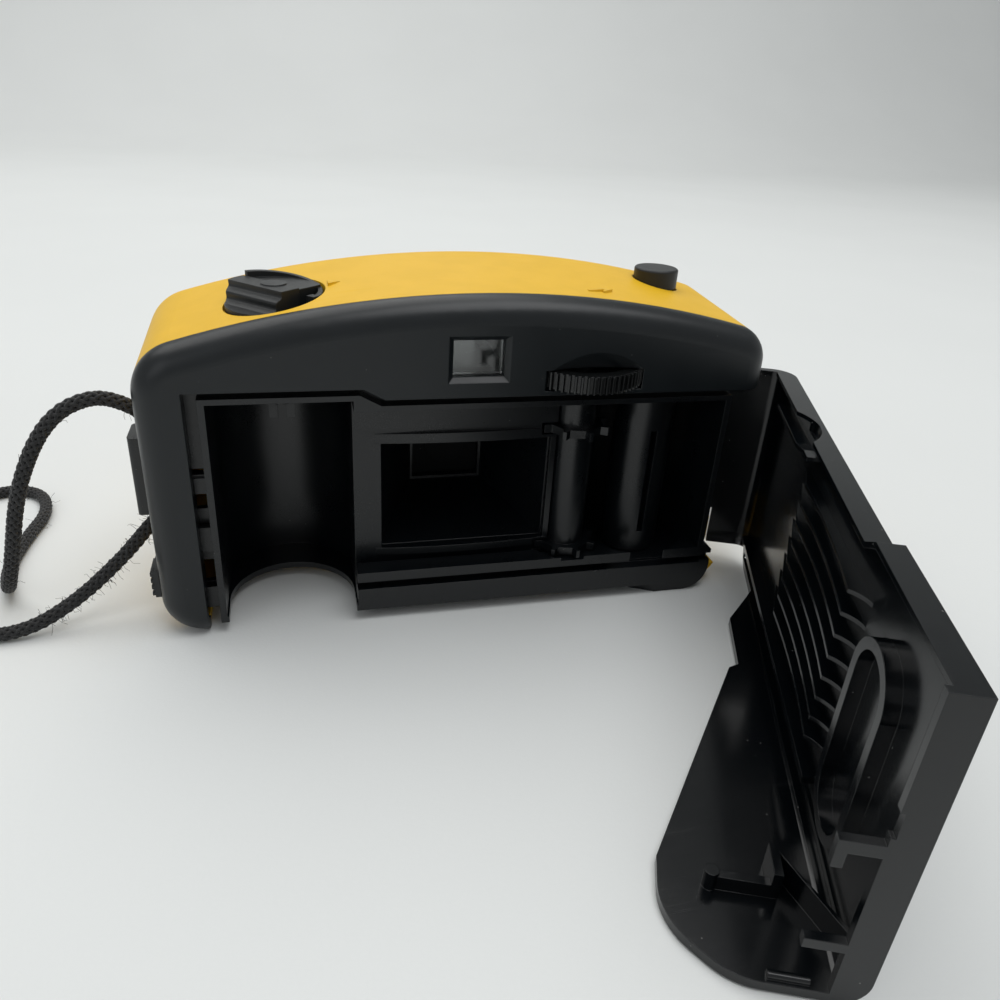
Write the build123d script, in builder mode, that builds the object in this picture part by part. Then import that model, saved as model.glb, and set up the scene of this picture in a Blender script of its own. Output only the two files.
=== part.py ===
from build123d import *
import os
from math import atan2, cos, degrees, pi, radians, sin, sqrt, tan

# Compact 35 mm film camera, back open. Millimetres, +Z up, X to the right seen from the back,
# the back faces -Y. The origin is in the middle of the body's base, on the table.

# Body shells
body_width = 125.0
body_rear = -21.0
body_front = 20.0
seam_y = -16.0
wall = 2.0
arch_x = 4.5
arch_height = 69.0
arch_radius = 210.0
top_slope = 0.07
left_corner = 10.0
right_corner = 7.4
bottom_corner = 8.0
rear_round = 5.0
front_round = 7.0
part_gap = 0.35
running_gap = 0.1

# Opening of the film side
door_left = -53.7
opening_top_left = 52.6
opening_top_right = 50.4
step_left = -21.6
step_right = -17.6
lip_width = 1.3
frame_rear = -20.0
strip_y = -17.0
strip_thick = 1.6

# Cassette chamber
cassette_x = -36.7
cassette_y = -4.9
chamber_radius = 13.3
chamber_wall = 1.3
chamber_top = 50.0
ceiling_thick = 1.1
frame_base = 2.6
floor_thick = 1.4
mouth_y = -13.5

# Film gate and light tunnel
gate_x = 0.2
gate_z = 26.4
gate_width = 36.0
gate_height = 24.4
gate_bulge = 1.0
film_y = -14.0
film_channel = 36.0
plate_thick = 1.4
rail_width = 1.7
lens_board_y = 10.0
window_width = 15.8
window_height = 14.4
tunnel_wall = 1.4

# Film transport
sprocket_x = 23.8
sprocket_y = -12.5
sprocket_pitch_radius = 6.05
sprocket_teeth = 8
tooth_height = 1.4
perforation_rows = 28.17
shaft_radius = 4.2
journal_radius = 1.5
wheel_bottom = 51.7
wheel_thick = 3.5
gear_module = 0.4
wheel_teeth = 62
spool_teeth = 30
gear_angle = 14.0
gear_thick = 2.5
spool_radius = 6.5
spool_chamber_radius = 12.6

# Door
door_wall = 1.8
door_rear = -22.2
door_angle = 68.0
hinge_x = 59.6
hinge_y = -5.0
pin_radius = 1.0
pin_seat = 0.02
knuckle_radius = 2.6
ear_height = 3.8
flange_thick = 1.6
flange_lift = 0.4
flange_round = 11.0
return_thick = 0.85
side_low = 5.0
foot_gap = 0.6
rib_count = 8
rib_pitch = 4.0
rib_thick = 0.7
rib_height = 2.7
recess_x = 27.0
recess_y = -8.6
recess_radius = 12.6

# Latch
latch_thick = 1.3
tab_bottom = 7.0
tab_height = 6.4

# Rewind
knob_radius = 9.2
knob_drop = 5.8
knob_disc = 1.4
knob_grip = 5.2
knob_foot = 6.2
knob_brow = 3.3
knob_flute = 0.4
knob_floor_drop = 0.5
knob_end = 5.8
knob_wall = 6.1
knob_hub = 2.4
knob_turn = -46.0
fork_shaft_radius = 2.4

# Shutter release
button_x = 45.8
button_y = 5.3
button_radius = 4.85
button_lift = 1.1
button_cap = 4.1

# Viewfinder
eye_x = 0.3
eye_drop = 11.1
eye_width = 10.0
eye_height = 7.2
eye_chamfer = 1.0
finder_wall = 1.2

# Lens
lens_radius = 8.0
boss_radius = 21.0
boss_front = 25.5
barrel_radius = 14.0

# Strap
cord_radius = 1.5
lug_y = -8.5
lug_bottom = 24.7
lug_top = 41.0
lug_reach = 2.8

half_width = body_width / 2
knob_base = arch_height - knob_drop
button_top = arch_height + button_lift
button_under = button_top - button_cap
eye_z = arch_height - eye_drop
ABOUT_MIN = (Align.MIN, Align.MIN, Align.MIN)

os.makedirs("parts", exist_ok=True)


def block(x, y, z, mode=Mode.ADD):
    """A box between two limits on each axis."""
    with Locations((x[0], y[0], z[0])):
        Box(x[1] - x[0], y[1] - y[0], z[1] - z[0], align=ABOUT_MIN, mode=mode)


def rod(x, y, z, radius, mode=Mode.ADD):
    """An upright cylinder between two heights."""
    with Locations((x, y, z[0])):
        Cylinder(radius, z[1] - z[0], align=(Align.CENTER, Align.CENTER, Align.MIN), mode=mode)


def rod_along_y(x, y, z, radius, mode=Mode.ADD):
    """A cylinder along Y between two depths."""
    with BuildSketch(Plane.XZ.offset(-y[0])) as outline:
        with Locations((x, z)):
            Circle(radius)
    extrude(outline.sketch, amount=y[0] - y[1], mode=mode)


def prism_xz(points, y, mode=Mode.ADD):
    """A polygon in the XZ plane, extruded along Y."""
    with BuildSketch(Plane.XZ.offset(-y[0])) as outline:
        with BuildLine():
            Polyline(*points, close=True)
        make_face()
    extrude(outline.sketch, amount=y[0] - y[1], mode=mode)


def prism_xy(points, z, mode=Mode.ADD):
    """A polygon in the XY plane, extruded upwards."""
    with BuildSketch(Plane.XY.offset(z[0])) as outline:
        with BuildLine():
            Polyline(*points, close=True)
        make_face()
    extrude(outline.sketch, amount=z[1] - z[0], mode=mode)


def turned_about_y(points, mode=Mode.ADD):
    """A ring or disc about the lens axis, from (radius, depth) points."""
    with BuildSketch(Plane(origin=(gate_x, 0, gate_z), x_dir=(1, 0, 0), z_dir=(0, 0, 1))) as outline:
        with BuildLine():
            Polyline(*points, close=True)
        make_face()
    revolve(outline.sketch, axis=Axis((gate_x, 0, gate_z), (0, 1, 0)), revolution_arc=360, mode=mode)


def tapered_box(rear, front, mode=Mode.ADD):
    """A loft about the lens axis between two (width, height, depth) rectangles."""
    outlines = []
    for width, height, depth in (rear, front):
        with BuildSketch(Plane.XZ.offset(-depth)) as outline:
            with Locations((gate_x, gate_z)):
                Rectangle(width, height)
        outlines.append(outline.sketch)
    loft(outlines, mode=mode)


def toothed_outline(x, y, teeth, root, tip, root_share, tip_share, start=0.0):
    """Corner points of a toothed wheel whose first tooth points at the start angle."""
    points = []
    step = 360.0 / teeth
    for index in range(teeth):
        middle = start + index * step
        corners = (
            (-root_share / 2, root),
            (-tip_share / 2, tip),
            (tip_share / 2, tip),
            (root_share / 2, root),
        )
        for share, reach in corners:
            angle = radians(middle + share * step)
            points.append((x + reach * cos(angle), y + reach * sin(angle)))
    return points


def arch_z(x, inset=0.0):
    """Height of the arched top at the body's rear plane."""
    radius = arch_radius - inset
    return arch_height - inset - radius + sqrt(radius ** 2 - (x - arch_x) ** 2)


def top_z(x, y):
    """Height of the body's top surface at a point."""
    return arch_z(x) + (y - body_rear) * top_slope


def upper_half(vertex):
    """True for the corners of an outline that lie above its base."""
    return vertex.Y > 0


def body_form(inset, rear):
    """The body's closed outer form, or the form inside its wall."""
    half = half_width - inset
    start = rear + inset
    depth = body_front - inset - start
    shift = (start - body_rear) * top_slope
    with BuildPart() as form:
        with BuildSketch(Plane.XZ.offset(-start)) as outline:
            with BuildLine():
                left = (-half, arch_z(-half, inset) + shift)
                right = (half, arch_z(half, inset) + shift)
                ThreePointArc(left, (arch_x, arch_height - inset + shift), right)
                Polyline(right, (half, -10), (-half, -10), left)
            make_face()
            fillet(outline.vertices().filter_by(upper_half).sort_by(Axis.X)[0], left_corner - inset)
            fillet(outline.vertices().filter_by(upper_half).sort_by(Axis.X)[-1], right_corner - inset)
        extrude(amount=depth * sqrt(1 + top_slope ** 2), dir=(0, 1, top_slope))
        split(bisect_by=Plane.XY.offset(inset), keep=Keep.TOP)
        fillet(form.edges().filter_by(Axis.Y).group_by(Axis.Z)[0], bottom_corner - inset)
        fillet(form.faces().sort_by(Axis.Y)[0].edges(), rear_round - inset)
        fillet(form.faces().sort_by(Axis.Y)[-1].edges(), front_round - inset)
    return form.part


outer_form = body_form(0.0, body_rear)
inner_form = body_form(wall, body_rear)
door_outer = body_form(0.0, door_rear)
door_inner = body_form(door_wall, door_rear)

film_bottom = gate_z - film_channel / 2
lower_row = gate_z - perforation_rows / 2
upper_row = gate_z + perforation_rows / 2
gear_distance = gear_module * (wheel_teeth + spool_teeth) / 2
wheel_pitch = gear_module * wheel_teeth / 2
spool_pitch = gear_module * spool_teeth / 2
wheel_radius = wheel_pitch + 0.8 * gear_module
spool_x = sprocket_x + gear_distance * cos(radians(gear_angle))
spool_y = sprocket_y + gear_distance * sin(radians(gear_angle))
groove_height = opening_top_left - chamber_top - ceiling_thick
frame_top_left = chamber_top + ceiling_thick
frame_top_right = opening_top_right - groove_height
ledge_bottom = frame_top_right - ceiling_thick
chamber_left = cassette_x - chamber_radius
chamber_right = cassette_x + chamber_radius
frame_left = chamber_left - chamber_wall
spool_right = spool_x + spool_chamber_radius
frame_right = spool_right + chamber_wall
recess_right = spool_x - spool_chamber_radius + 1.5
plate_front = film_y + plate_thick
plate_right = sprocket_x - shaft_radius
wheel_top = wheel_bottom + wheel_thick
shelf_top = film_bottom + 3.4
shelf_thick = 2.2
groove_low = shelf_top - shelf_thick - 1.8
pocket_depth = 2.6


def opening_outline(gap):
    """The film side's opening in the rear shell, drawn smaller by a gap."""
    return [
        (door_left + gap, -1),
        (door_left + gap, opening_top_left - gap),
        (step_left - gap / 2, opening_top_left - gap),
        (step_right - gap / 2, opening_top_right - gap),
        (half_width + 1, opening_top_right - gap),
        (half_width + 1, -1),
    ]


lip_outline = [
    (door_left, bottom_corner),
    (door_left - lip_width, bottom_corner),
    (door_left - lip_width, opening_top_left + lip_width),
    (step_left + lip_width / 2, opening_top_left + lip_width),
    (step_right + lip_width / 2, opening_top_right + lip_width),
    (half_width - wall - 1, opening_top_right + lip_width),
    (half_width - wall - 1, opening_top_right),
    (step_right, opening_top_right),
    (step_left, opening_top_left),
    (door_left, opening_top_left),
]

# Rear shell: the dark frame around the film side
dish_low = wheel_top + 0.3
dish_high = dish_low + 3.4
dish_x = sprocket_x + 0.6
dish_half = 9.6
dish_depth = 1.6
dish_radius = (dish_half ** 2 + dish_depth ** 2) / (2 * dish_depth)
dish_y = body_rear - dish_radius + dish_depth
with BuildPart() as rear_shell:
    add(outer_form)
    add(inner_form, mode=Mode.SUBTRACT)
    split(bisect_by=Plane.XZ.offset(-seam_y), keep=Keep.TOP)
    prism_xz(lip_outline, (body_rear + wall - 0.2, strip_y - part_gap))
    block((dish_x - dish_half - 2, dish_x + dish_half + 2), (body_rear + wall - 0.2, body_rear + dish_depth + 1.6),
          (dish_low, dish_high + 1.5))
    prism_xz(opening_outline(0), (body_rear - 1, seam_y + 1), mode=Mode.SUBTRACT)
    block((frame_right, half_width + 1), (body_rear + 3.0, seam_y + 1), (-1, opening_top_right + wall),
          mode=Mode.SUBTRACT)
    rod(sprocket_x, sprocket_y, (wheel_bottom - 0.4, dish_low), wheel_radius + 0.5, mode=Mode.SUBTRACT)
    with Locations((dish_x, dish_y, dish_low)):
        Cone(dish_radius, dish_radius - dish_depth, dish_high - dish_low,
             align=(Align.CENTER, Align.CENTER, Align.MIN), mode=Mode.SUBTRACT)
    block((eye_x - eye_width / 2, eye_x + eye_width / 2), (body_rear - 1, body_rear + wall + 1),
          (eye_z - eye_height / 2, eye_z + eye_height / 2), mode=Mode.SUBTRACT)
    window_edges = rear_shell.edges().filter_by_position(Axis.Y, body_rear - 0.01, body_rear + 0.01)
    window_edges = window_edges.filter_by(lambda e: abs(e.center().X - eye_x) < eye_width / 2 + 0.1)
    window_edges = window_edges.filter_by(lambda e: abs(e.center().Z - eye_z) < eye_height / 2 + 0.1)
    chamfer(window_edges, eye_chamfer)
rear_shell.part.label = "rear_shell"


# Film frame: cassette chamber, film gate and take-up chamber in one moulding
frame_form = body_form(wall + part_gap, body_rear - 6.0)
foot_low = 39.9
foot_right = half_width - 4.1
foot_corner = 6.0
foot_top = film_bottom - 0.8
foot_rear = body_rear + door_wall
foot_front = -8.0
rim_front = foot_rear - 0.4
with BuildPart() as foot_form:
    with BuildSketch(Plane.XZ.offset(-foot_rear)) as foot_outline:
        with BuildLine():
            Polyline((foot_low - 8, 0), (foot_low - 8, foot_top), (spool_right + 0.2, foot_top),
                     (spool_right + 0.2, shelf_top), (foot_right - 1.2, shelf_top), (foot_right, shelf_top - 1.2),
                     (foot_right, 0), close=True)
        make_face()
        fillet(foot_outline.vertices().sort_by(Axis.X)[-2:].sort_by(Axis.Y)[0], foot_corner)
    extrude(foot_outline.sketch, amount=foot_rear - foot_front)
    prism_xy([(foot_low + 5.6, body_rear - 1), (foot_low + 5.6, foot_rear), (foot_low - 6.6, sprocket_y - 0.5),
              (foot_low - 9, foot_front + 1), (foot_low - 20, foot_front + 1), (foot_low - 20, body_rear - 1)],
             (-2, frame_base), mode=Mode.SUBTRACT)
    block((foot_low + 2.5, foot_right - 1.6), (foot_rear + 1.6, foot_front + 1), (wall, groove_low - 1.3),
          mode=Mode.SUBTRACT)
    block((foot_low - 9, half_width), (foot_rear - 1, strip_y - 0.4), (groove_low, groove_low + 1.8),
          mode=Mode.SUBTRACT)
    block((foot_low - 9, half_width), (spool_y - 3.1, foot_front + 1), (frame_base, shelf_top + 1),
          mode=Mode.SUBTRACT)

rail_span = gate_width / 2 + 1.2
ear_low = 14.2
ear_high = 50.2
knuckle_low = ear_low + ear_height + part_gap
knuckle_high = ear_high - ear_height - part_gap
window_left = door_left - 0.05
slot_low = 23.4
slot_high = 31.2
shelf_y = strip_y + strip_thick
post_height = 55.6
left_post = (14.5, 6.5)
right_post = (50.5, 1.5)
with BuildPart() as film_frame:
    # cassette chamber with its rear walls
    rod(cassette_x, cassette_y, (frame_base, frame_top_left), chamber_radius + chamber_wall)
    block((frame_left, chamber_right + chamber_wall), (frame_rear, cassette_y), (frame_base, frame_top_left))
    # strips behind the shell's lip
    block((-half_width, frame_left + 1), (strip_y, shelf_y), (4.7, opening_top_left + 1))
    block((-half_width, step_left), (strip_y, shelf_y), (frame_top_left - 1, opening_top_left + 1))
    block((step_left - 1, frame_right), (strip_y, shelf_y), (ledge_bottom, opening_top_right + 0.9))
    # ledge and deck over the film side
    block((chamber_right, frame_right), (frame_rear, lens_board_y - 1), (ledge_bottom, frame_top_right))
    prism_xz([(chamber_right - 0.6, chamber_top), (chamber_right - 0.6, frame_top_left),
              (chamber_right + 1.2, frame_top_left), (chamber_right + 5.2, frame_top_right),
              (chamber_right + 5.2, ledge_bottom), (chamber_right + 0.6, ledge_bottom)], (frame_rear, film_y))
    # beam under the film
    block((chamber_right, frame_right), (frame_rear, plate_front), (frame_base, shelf_top))
    # sprocket recess and take-up chamber
    rod(sprocket_x, sprocket_y, (film_bottom - floor_thick, frame_top_right), 9.4)
    rod(spool_x, spool_y, (film_bottom - floor_thick, frame_top_right), spool_chamber_radius + chamber_wall)
    block((spool_right - 6, frame_right), (frame_rear, spool_y), (film_bottom - floor_thick, frame_top_right))
    # film plate and light tunnel
    block((chamber_right, sprocket_x), (film_y, plate_front), (film_bottom, ledge_bottom))
    tapered_box((gate_width + 2 * tunnel_wall, gate_height + 2 * tunnel_wall, plate_front - 0.3),
                (window_width + 4, window_height + 4, lens_board_y + 0.5))
    block((gate_x - 17, gate_x + 17), (lens_board_y, lens_board_y + tunnel_wall), (gate_z - 14, gate_z + 14))
    for side in (-1, 1):
        for level in (-1, 1):
            rod_along_y(gate_x + side * 14.5, (lens_board_y - 4, lens_board_y + 1), gate_z + level * 11.5, 2.2)
    # hollows
    rod(cassette_x, cassette_y, (frame_base + floor_thick, chamber_top), chamber_radius, mode=Mode.SUBTRACT)
    block((chamber_left, chamber_right), (frame_rear - 1, cassette_y), (frame_base + floor_thick, chamber_top),
          mode=Mode.SUBTRACT)
    block((-half_width, half_width), (frame_rear - 5, frame_rear), (-1, frame_top_left + 1), mode=Mode.SUBTRACT)
    block((chamber_right - 1, spool_right), (frame_rear - 1, film_y), (shelf_top, ledge_bottom),
          mode=Mode.SUBTRACT)
    rod(cassette_x, mouth_y, (frame_base - 1, frame_base + floor_thick + 0.1), 13, mode=Mode.SUBTRACT)
    block((cassette_x - 13, cassette_x + 13), (frame_rear - 1, mouth_y),
          (frame_base - 1, frame_base + floor_thick + 0.1), mode=Mode.SUBTRACT)
    rod(spool_x, spool_y, (film_bottom, ledge_bottom), spool_chamber_radius, mode=Mode.SUBTRACT)
    block((recess_right, spool_right), (frame_rear + 4.4, spool_y), (film_bottom, ledge_bottom),
          mode=Mode.SUBTRACT)
    block((sprocket_x, spool_right), (frame_rear - 1, sprocket_y), (shelf_top, ledge_bottom), mode=Mode.SUBTRACT)
    rod(sprocket_x, sprocket_y, (film_bottom, ledge_bottom), shaft_radius + 0.4, mode=Mode.SUBTRACT)
    block((sprocket_x, recess_right), (frame_rear + 4.4, sprocket_y + 4), (film_bottom, ledge_bottom),
          mode=Mode.SUBTRACT)
    block((chamber_right - 1, spool_right), (frame_rear + 4.4, film_y), (film_bottom, shelf_top + 0.1),
          mode=Mode.SUBTRACT)
    block((gate_x - gate_width / 2, gate_x + gate_width / 2), (frame_rear, plate_front + 0.1),
          (gate_z - gate_height / 2, gate_z + gate_height / 2), mode=Mode.SUBTRACT)
    tapered_box((gate_width, gate_height, plate_front - 0.4),
                (window_width + 1.2, window_height + 1.2, lens_board_y), mode=Mode.SUBTRACT)
    block((gate_x - window_width / 2, gate_x + window_width / 2), (lens_board_y - 1, lens_board_y + 2),
          (gate_z - window_height / 2, gate_z + window_height / 2), mode=Mode.SUBTRACT)
    # groove for the door's lower rib, and the beam's hollow
    block((chamber_right - 1, half_width), (frame_rear - 1, strip_y - 0.4),
          (groove_low, groove_low + 1.8), mode=Mode.SUBTRACT)
    block((chamber_right + 2.4, foot_low - 9), (frame_rear + 1.4, plate_front + 1), (frame_base - 1, groove_low - 1.3),
          mode=Mode.SUBTRACT)
    # latch windows in the strip
    for low, high in ((35.0, 36.3), (slot_low, slot_high), (9.6, 18.0)):
        block((window_left, frame_left), (strip_y - 0.1, shelf_y + 0.1), (low, high), mode=Mode.SUBTRACT)
    block((door_left + 0.1, frame_left), (strip_y - 0.6, strip_y), (slot_high, slot_high + 3.3))
    # curved film rails
    for low, high in ((gate_z + gate_height / 2, gate_z + gate_height / 2 + rail_width + 0.4),
                      (gate_z - gate_height / 2 - rail_width, gate_z - gate_height / 2)):
        with BuildSketch(Plane.XY.offset(low)) as rail:
            with BuildLine():
                ThreePointArc((gate_x - rail_span, film_y - 0.05), (gate_x, film_y - gate_bulge),
                              (gate_x + rail_span - 0.5, film_y - 0.05))
                Polyline((gate_x + rail_span - 0.5, film_y - 0.05), (gate_x + rail_span - 0.5, plate_front),
                         (gate_x - rail_span, plate_front), (gate_x - rail_span, film_y - 0.05))
            make_face()
        extrude(rail.sketch, amount=high - low)
    for row in (lower_row, upper_row):
        rod(sprocket_x, sprocket_y, (row - 1.3, row + 1.3), sprocket_pitch_radius + tooth_height + 0.5,
            mode=Mode.SUBTRACT)
    # hinge ears
    for low in (ear_low, ear_high - ear_height):
        rod(hinge_x, hinge_y, (low, low + ear_height), knuckle_radius)
        block((spool_right + 0.1, hinge_x), (hinge_y - knuckle_radius, hinge_y + knuckle_radius),
              (low, low + ear_height))
    # bosses and posts
    rod(sprocket_x, sprocket_y, (frame_top_right - 1, wheel_bottom - 0.3), 2.8)
    rod(sprocket_x, sprocket_y, (film_bottom - floor_thick - 2, film_bottom), 3.0)
    rod(spool_x, spool_y, (film_bottom - floor_thick - 2, film_bottom), 3.0)
    for x, y in (left_post, right_post):
        rod(x, y, (frame_top_right - 1, post_height), 1.2)
    # bores
    rod(hinge_x, hinge_y, (ear_low - 1, ear_high + 1), pin_radius + pin_seat, mode=Mode.SUBTRACT)
    rod(sprocket_x, sprocket_y, (film_bottom - floor_thick - 3, wheel_bottom), journal_radius + running_gap,
        mode=Mode.SUBTRACT)
    rod(spool_x, spool_y, (film_bottom - floor_thick - 3, film_bottom + 1), journal_radius + running_gap,
        mode=Mode.SUBTRACT)
    rod(spool_x, spool_y, (ledge_bottom - 1, frame_top_right + 1), 2 + running_gap, mode=Mode.SUBTRACT)
    rod(cassette_x, cassette_y, (chamber_top - 1, frame_top_left + 1), fork_shaft_radius + running_gap,
        mode=Mode.SUBTRACT)
    for side in (-1, 1):
        for level in (-1, 1):
            rod_along_y(gate_x + side * 14.5, (lens_board_y - 5, lens_board_y + 2), gate_z + level * 11.5, 0.9,
                        mode=Mode.SUBTRACT)
    # shelf for the latch spring and guides for the latch
    block((frame_left - 6.9, frame_left + 0.5), (shelf_y + 2.0, shelf_y + 5.4), (14.5, 16.0))
    block((frame_left - 7.3, frame_left - 5.95), (shelf_y - 0.5, shelf_y + 2.2), (27.5, 32.5))
    add(frame_form, mode=Mode.INTERSECT)
    add(foot_form.part)
film_frame.part.label = "film_frame"

# Door, drawn closed and then swung open about its hinge
door_top_left = opening_top_left - part_gap
door_top_right = opening_top_right - part_gap
door_left_edge = door_left + part_gap
door_inside = door_rear + door_wall
door_side = half_width - door_wall
side_front = hinge_y - knuckle_radius - foot_gap
side_front_low = hinge_y - knuckle_radius - 2.4
door_outline = [
    (door_left_edge, flange_lift),
    (door_left_edge, door_top_left),
    (step_left - 0.2, door_top_left),
    (step_right - 0.2, door_top_right),
    (half_width + 1, door_top_right),
    (half_width + 1, flange_lift),
]
flange_corner = 4.5
flange_outline = [
    (foot_low + 3.5, door_inside),
    (foot_low + 3.5, rim_front),
    (foot_low - 8.9, sprocket_y - 1.0),
    (14.7, sprocket_y - 1.0),
    (13.2, sprocket_y + 1.0),
    (-35.9, flange_corner),
    (door_left_edge + 7.4, flange_corner),
    (door_left_edge, flange_corner - 9.5),
    (door_left_edge, door_inside),
]
rib_crest = door_inside + rib_height
trap_left = sprocket_x - 5.8
trap_right = spool_right - 4.9
trap_low = ledge_bottom - 2.4
trap_high = ledge_bottom - 1.2
trap_thick = 0.8
trap_crest = door_rear + 4.6
flange_pin = 0.6
rib_low = film_bottom + 5.4
rib_left = -18.6
rib_right = 27.0


def flange_face(z, margin=0.0):
    """The flange's outline with its round free end, grown by a margin."""
    with BuildSketch(Plane.XY.offset(z)) as outline:
        with BuildLine():
            Polyline(*flange_outline, close=True)
        make_face()
        fillet(outline.vertices().filter_by(lambda v: v.X < door_left_edge + 8 and v.Y > film_y), flange_round)
        if margin > 0:
            offset(amount=margin, kind=Kind.INTERSECTION)
    return outline.sketch


with BuildPart() as door_limits:
    prism_xz(door_outline, (door_rear - 1, -17.2))
    block((door_side - 3, half_width + 1), (-17.4, side_front), (ear_low - 0.1, door_top_right))
    block((door_side - 3, half_width + 1), (-17.4, side_front_low), (side_low, ear_low))
with BuildPart() as door_form:
    add(door_outer)
    add(door_inner, mode=Mode.SUBTRACT)
    add(door_limits.part, mode=Mode.INTERSECT)
    prism_xy([(foot_low + 3.5, rim_front), (foot_low - 8.9, sprocket_y - 1), (half_width + 1, sprocket_y - 1),
              (half_width + 1, rim_front)], (-1, side_low), mode=Mode.SUBTRACT)
    block((frame_left - part_gap, foot_right + part_gap), (frame_rear - part_gap, frame_rear + 1.2),
          (frame_base - part_gap, frame_base + 1.2), mode=Mode.SUBTRACT)
    extrude(flange_face(flange_lift), amount=flange_thick)
    # returns along the top edge and the light-trap ribs
    prism_xz([(door_left_edge, door_top_left), (step_left - 0.2, door_top_left), (step_right - 0.2, door_top_right),
              (half_width - 2, door_top_right), (half_width - 2, door_top_right - return_thick),
              (step_right - 0.6, door_top_right - return_thick), (step_left - 0.6, door_top_left - return_thick),
              (door_left_edge, door_top_left - return_thick)], (door_inside - 0.3, -18.3))
    prism_xz([(trap_right, trap_low), (trap_left + 9, trap_low), (trap_left + 3, trap_high), (trap_left, trap_high),
              (trap_left, trap_high + trap_thick), (trap_left + 3.4, trap_high + trap_thick),
              (trap_left + 9.4, trap_low + trap_thick), (trap_right, trap_low + trap_thick)],
             (door_inside - 0.3, trap_crest))
    block((chamber_right + 0.9, foot_right - 1.5), (door_inside - 0.3, -17.9), (groove_low + 0.3, groove_low + 1.5))
    # round recess of the top edge under the thumb wheel
    rod(recess_x, recess_y, (door_top_right - 2.4, door_top_right + 1), recess_radius, mode=Mode.SUBTRACT)
    # ribs behind the film: they rise from the panel and end in a hook
    for index in range(rib_count):
        elbow = (rib_left, rib_crest)
        shoulder = (rib_right - 10, rib_crest - 0.6)
        hook_end = (rib_left - 3.4, door_inside)
        with BuildSketch(Plane.XY.offset(rib_low + index * rib_pitch)) as rib:
            with BuildLine():
                ThreePointArc(hook_end, (rib_left - 1.2, rib_crest - 1.5), elbow)
                ThreePointArc(elbow, (gate_x, rib_crest - gate_bulge), shoulder)
                Line(shoulder, (rib_right, door_inside))
                Polyline((rib_right, door_inside), (rib_right, door_inside - 0.3),
                         (rib_left - 3.4, door_inside - 0.3), hook_end)
            make_face()
        extrude(rib.sketch, amount=rib_thick)
    # oblong ring that holds the film cassette
    with BuildSketch(Plane.XZ.offset(-(door_inside - 0.3))) as ring:
        with Locations((-33.0, gate_z - 0.4)):
            SlotOverall(34.0, 14.0, rotation=90)
            SlotOverall(30.4, 10.4, rotation=90, mode=Mode.SUBTRACT)
    extrude(ring.sketch, amount=-2.5)
    # end wall with its hooks
    block((door_left_edge, door_left_edge + 1.35), (door_inside - 0.3, strip_y - 0.4), (2.0, door_top_left))
    block((door_left_edge - 1, door_left_edge + 1.5), (strip_y - 1.0, strip_y), (slot_high - part_gap, slot_high + 3.65),
          mode=Mode.SUBTRACT)
    block((door_left_edge, door_left_edge + 1.35), (strip_y - 0.5, -12.0), (27.5, 29.5))
    block((door_left_edge, door_left_edge + 1.35), (-13.4, -12.0), (25.0, 29.5))
    block((door_left_edge, door_left_edge + 1.35), (strip_y - 0.5, -12.0), (10.2, 11.8))
    # stiffening ribs and pins on the flange
    block((-40.2, -38.8), (-11.6, -3.0), (flange_lift + 1, flange_lift + 4.2))
    rod(-39.5, -3.0, (flange_lift + 1, flange_lift + 4.8), 1.1)
    block((-40.2, -34.6), (-12.8, -11.4), (flange_lift + 1, flange_lift + 6.5))
    rod_along_y(frame_left - part_gap - flange_pin, (-15.0, -9.5), flange_lift + flange_thick + 0.3, flange_pin)
    prism_xy([(-35.2, -12.6), (-34.0, -12.0), (-46.5, door_inside), (-48.0, door_inside)],
             (flange_lift + 1, flange_lift + 6.0))
    # knuckle
    block((door_side, half_width), (-17.4, hinge_y), (knuckle_low, knuckle_high))
    rod(hinge_x, hinge_y, (knuckle_low, knuckle_high), knuckle_radius)
    block((hinge_x, half_width - 0.2), (hinge_y - knuckle_radius, hinge_y), (knuckle_low, knuckle_high))
    rod(hinge_x, hinge_y, (knuckle_low - 1, knuckle_high + 1), pin_radius + running_gap, mode=Mode.SUBTRACT)
with BuildPart() as back_door:
    add(door_form.part.rotate(Axis((hinge_x, hinge_y, 0), (0, 0, 1)), door_angle))
back_door.part.label = "back_door"

with BuildPart() as hinge_pin:
    rod(hinge_x, hinge_y, (ear_low + 0.2, ear_high - 0.2), pin_radius)
hinge_pin.part.label = "hinge_pin"

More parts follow.
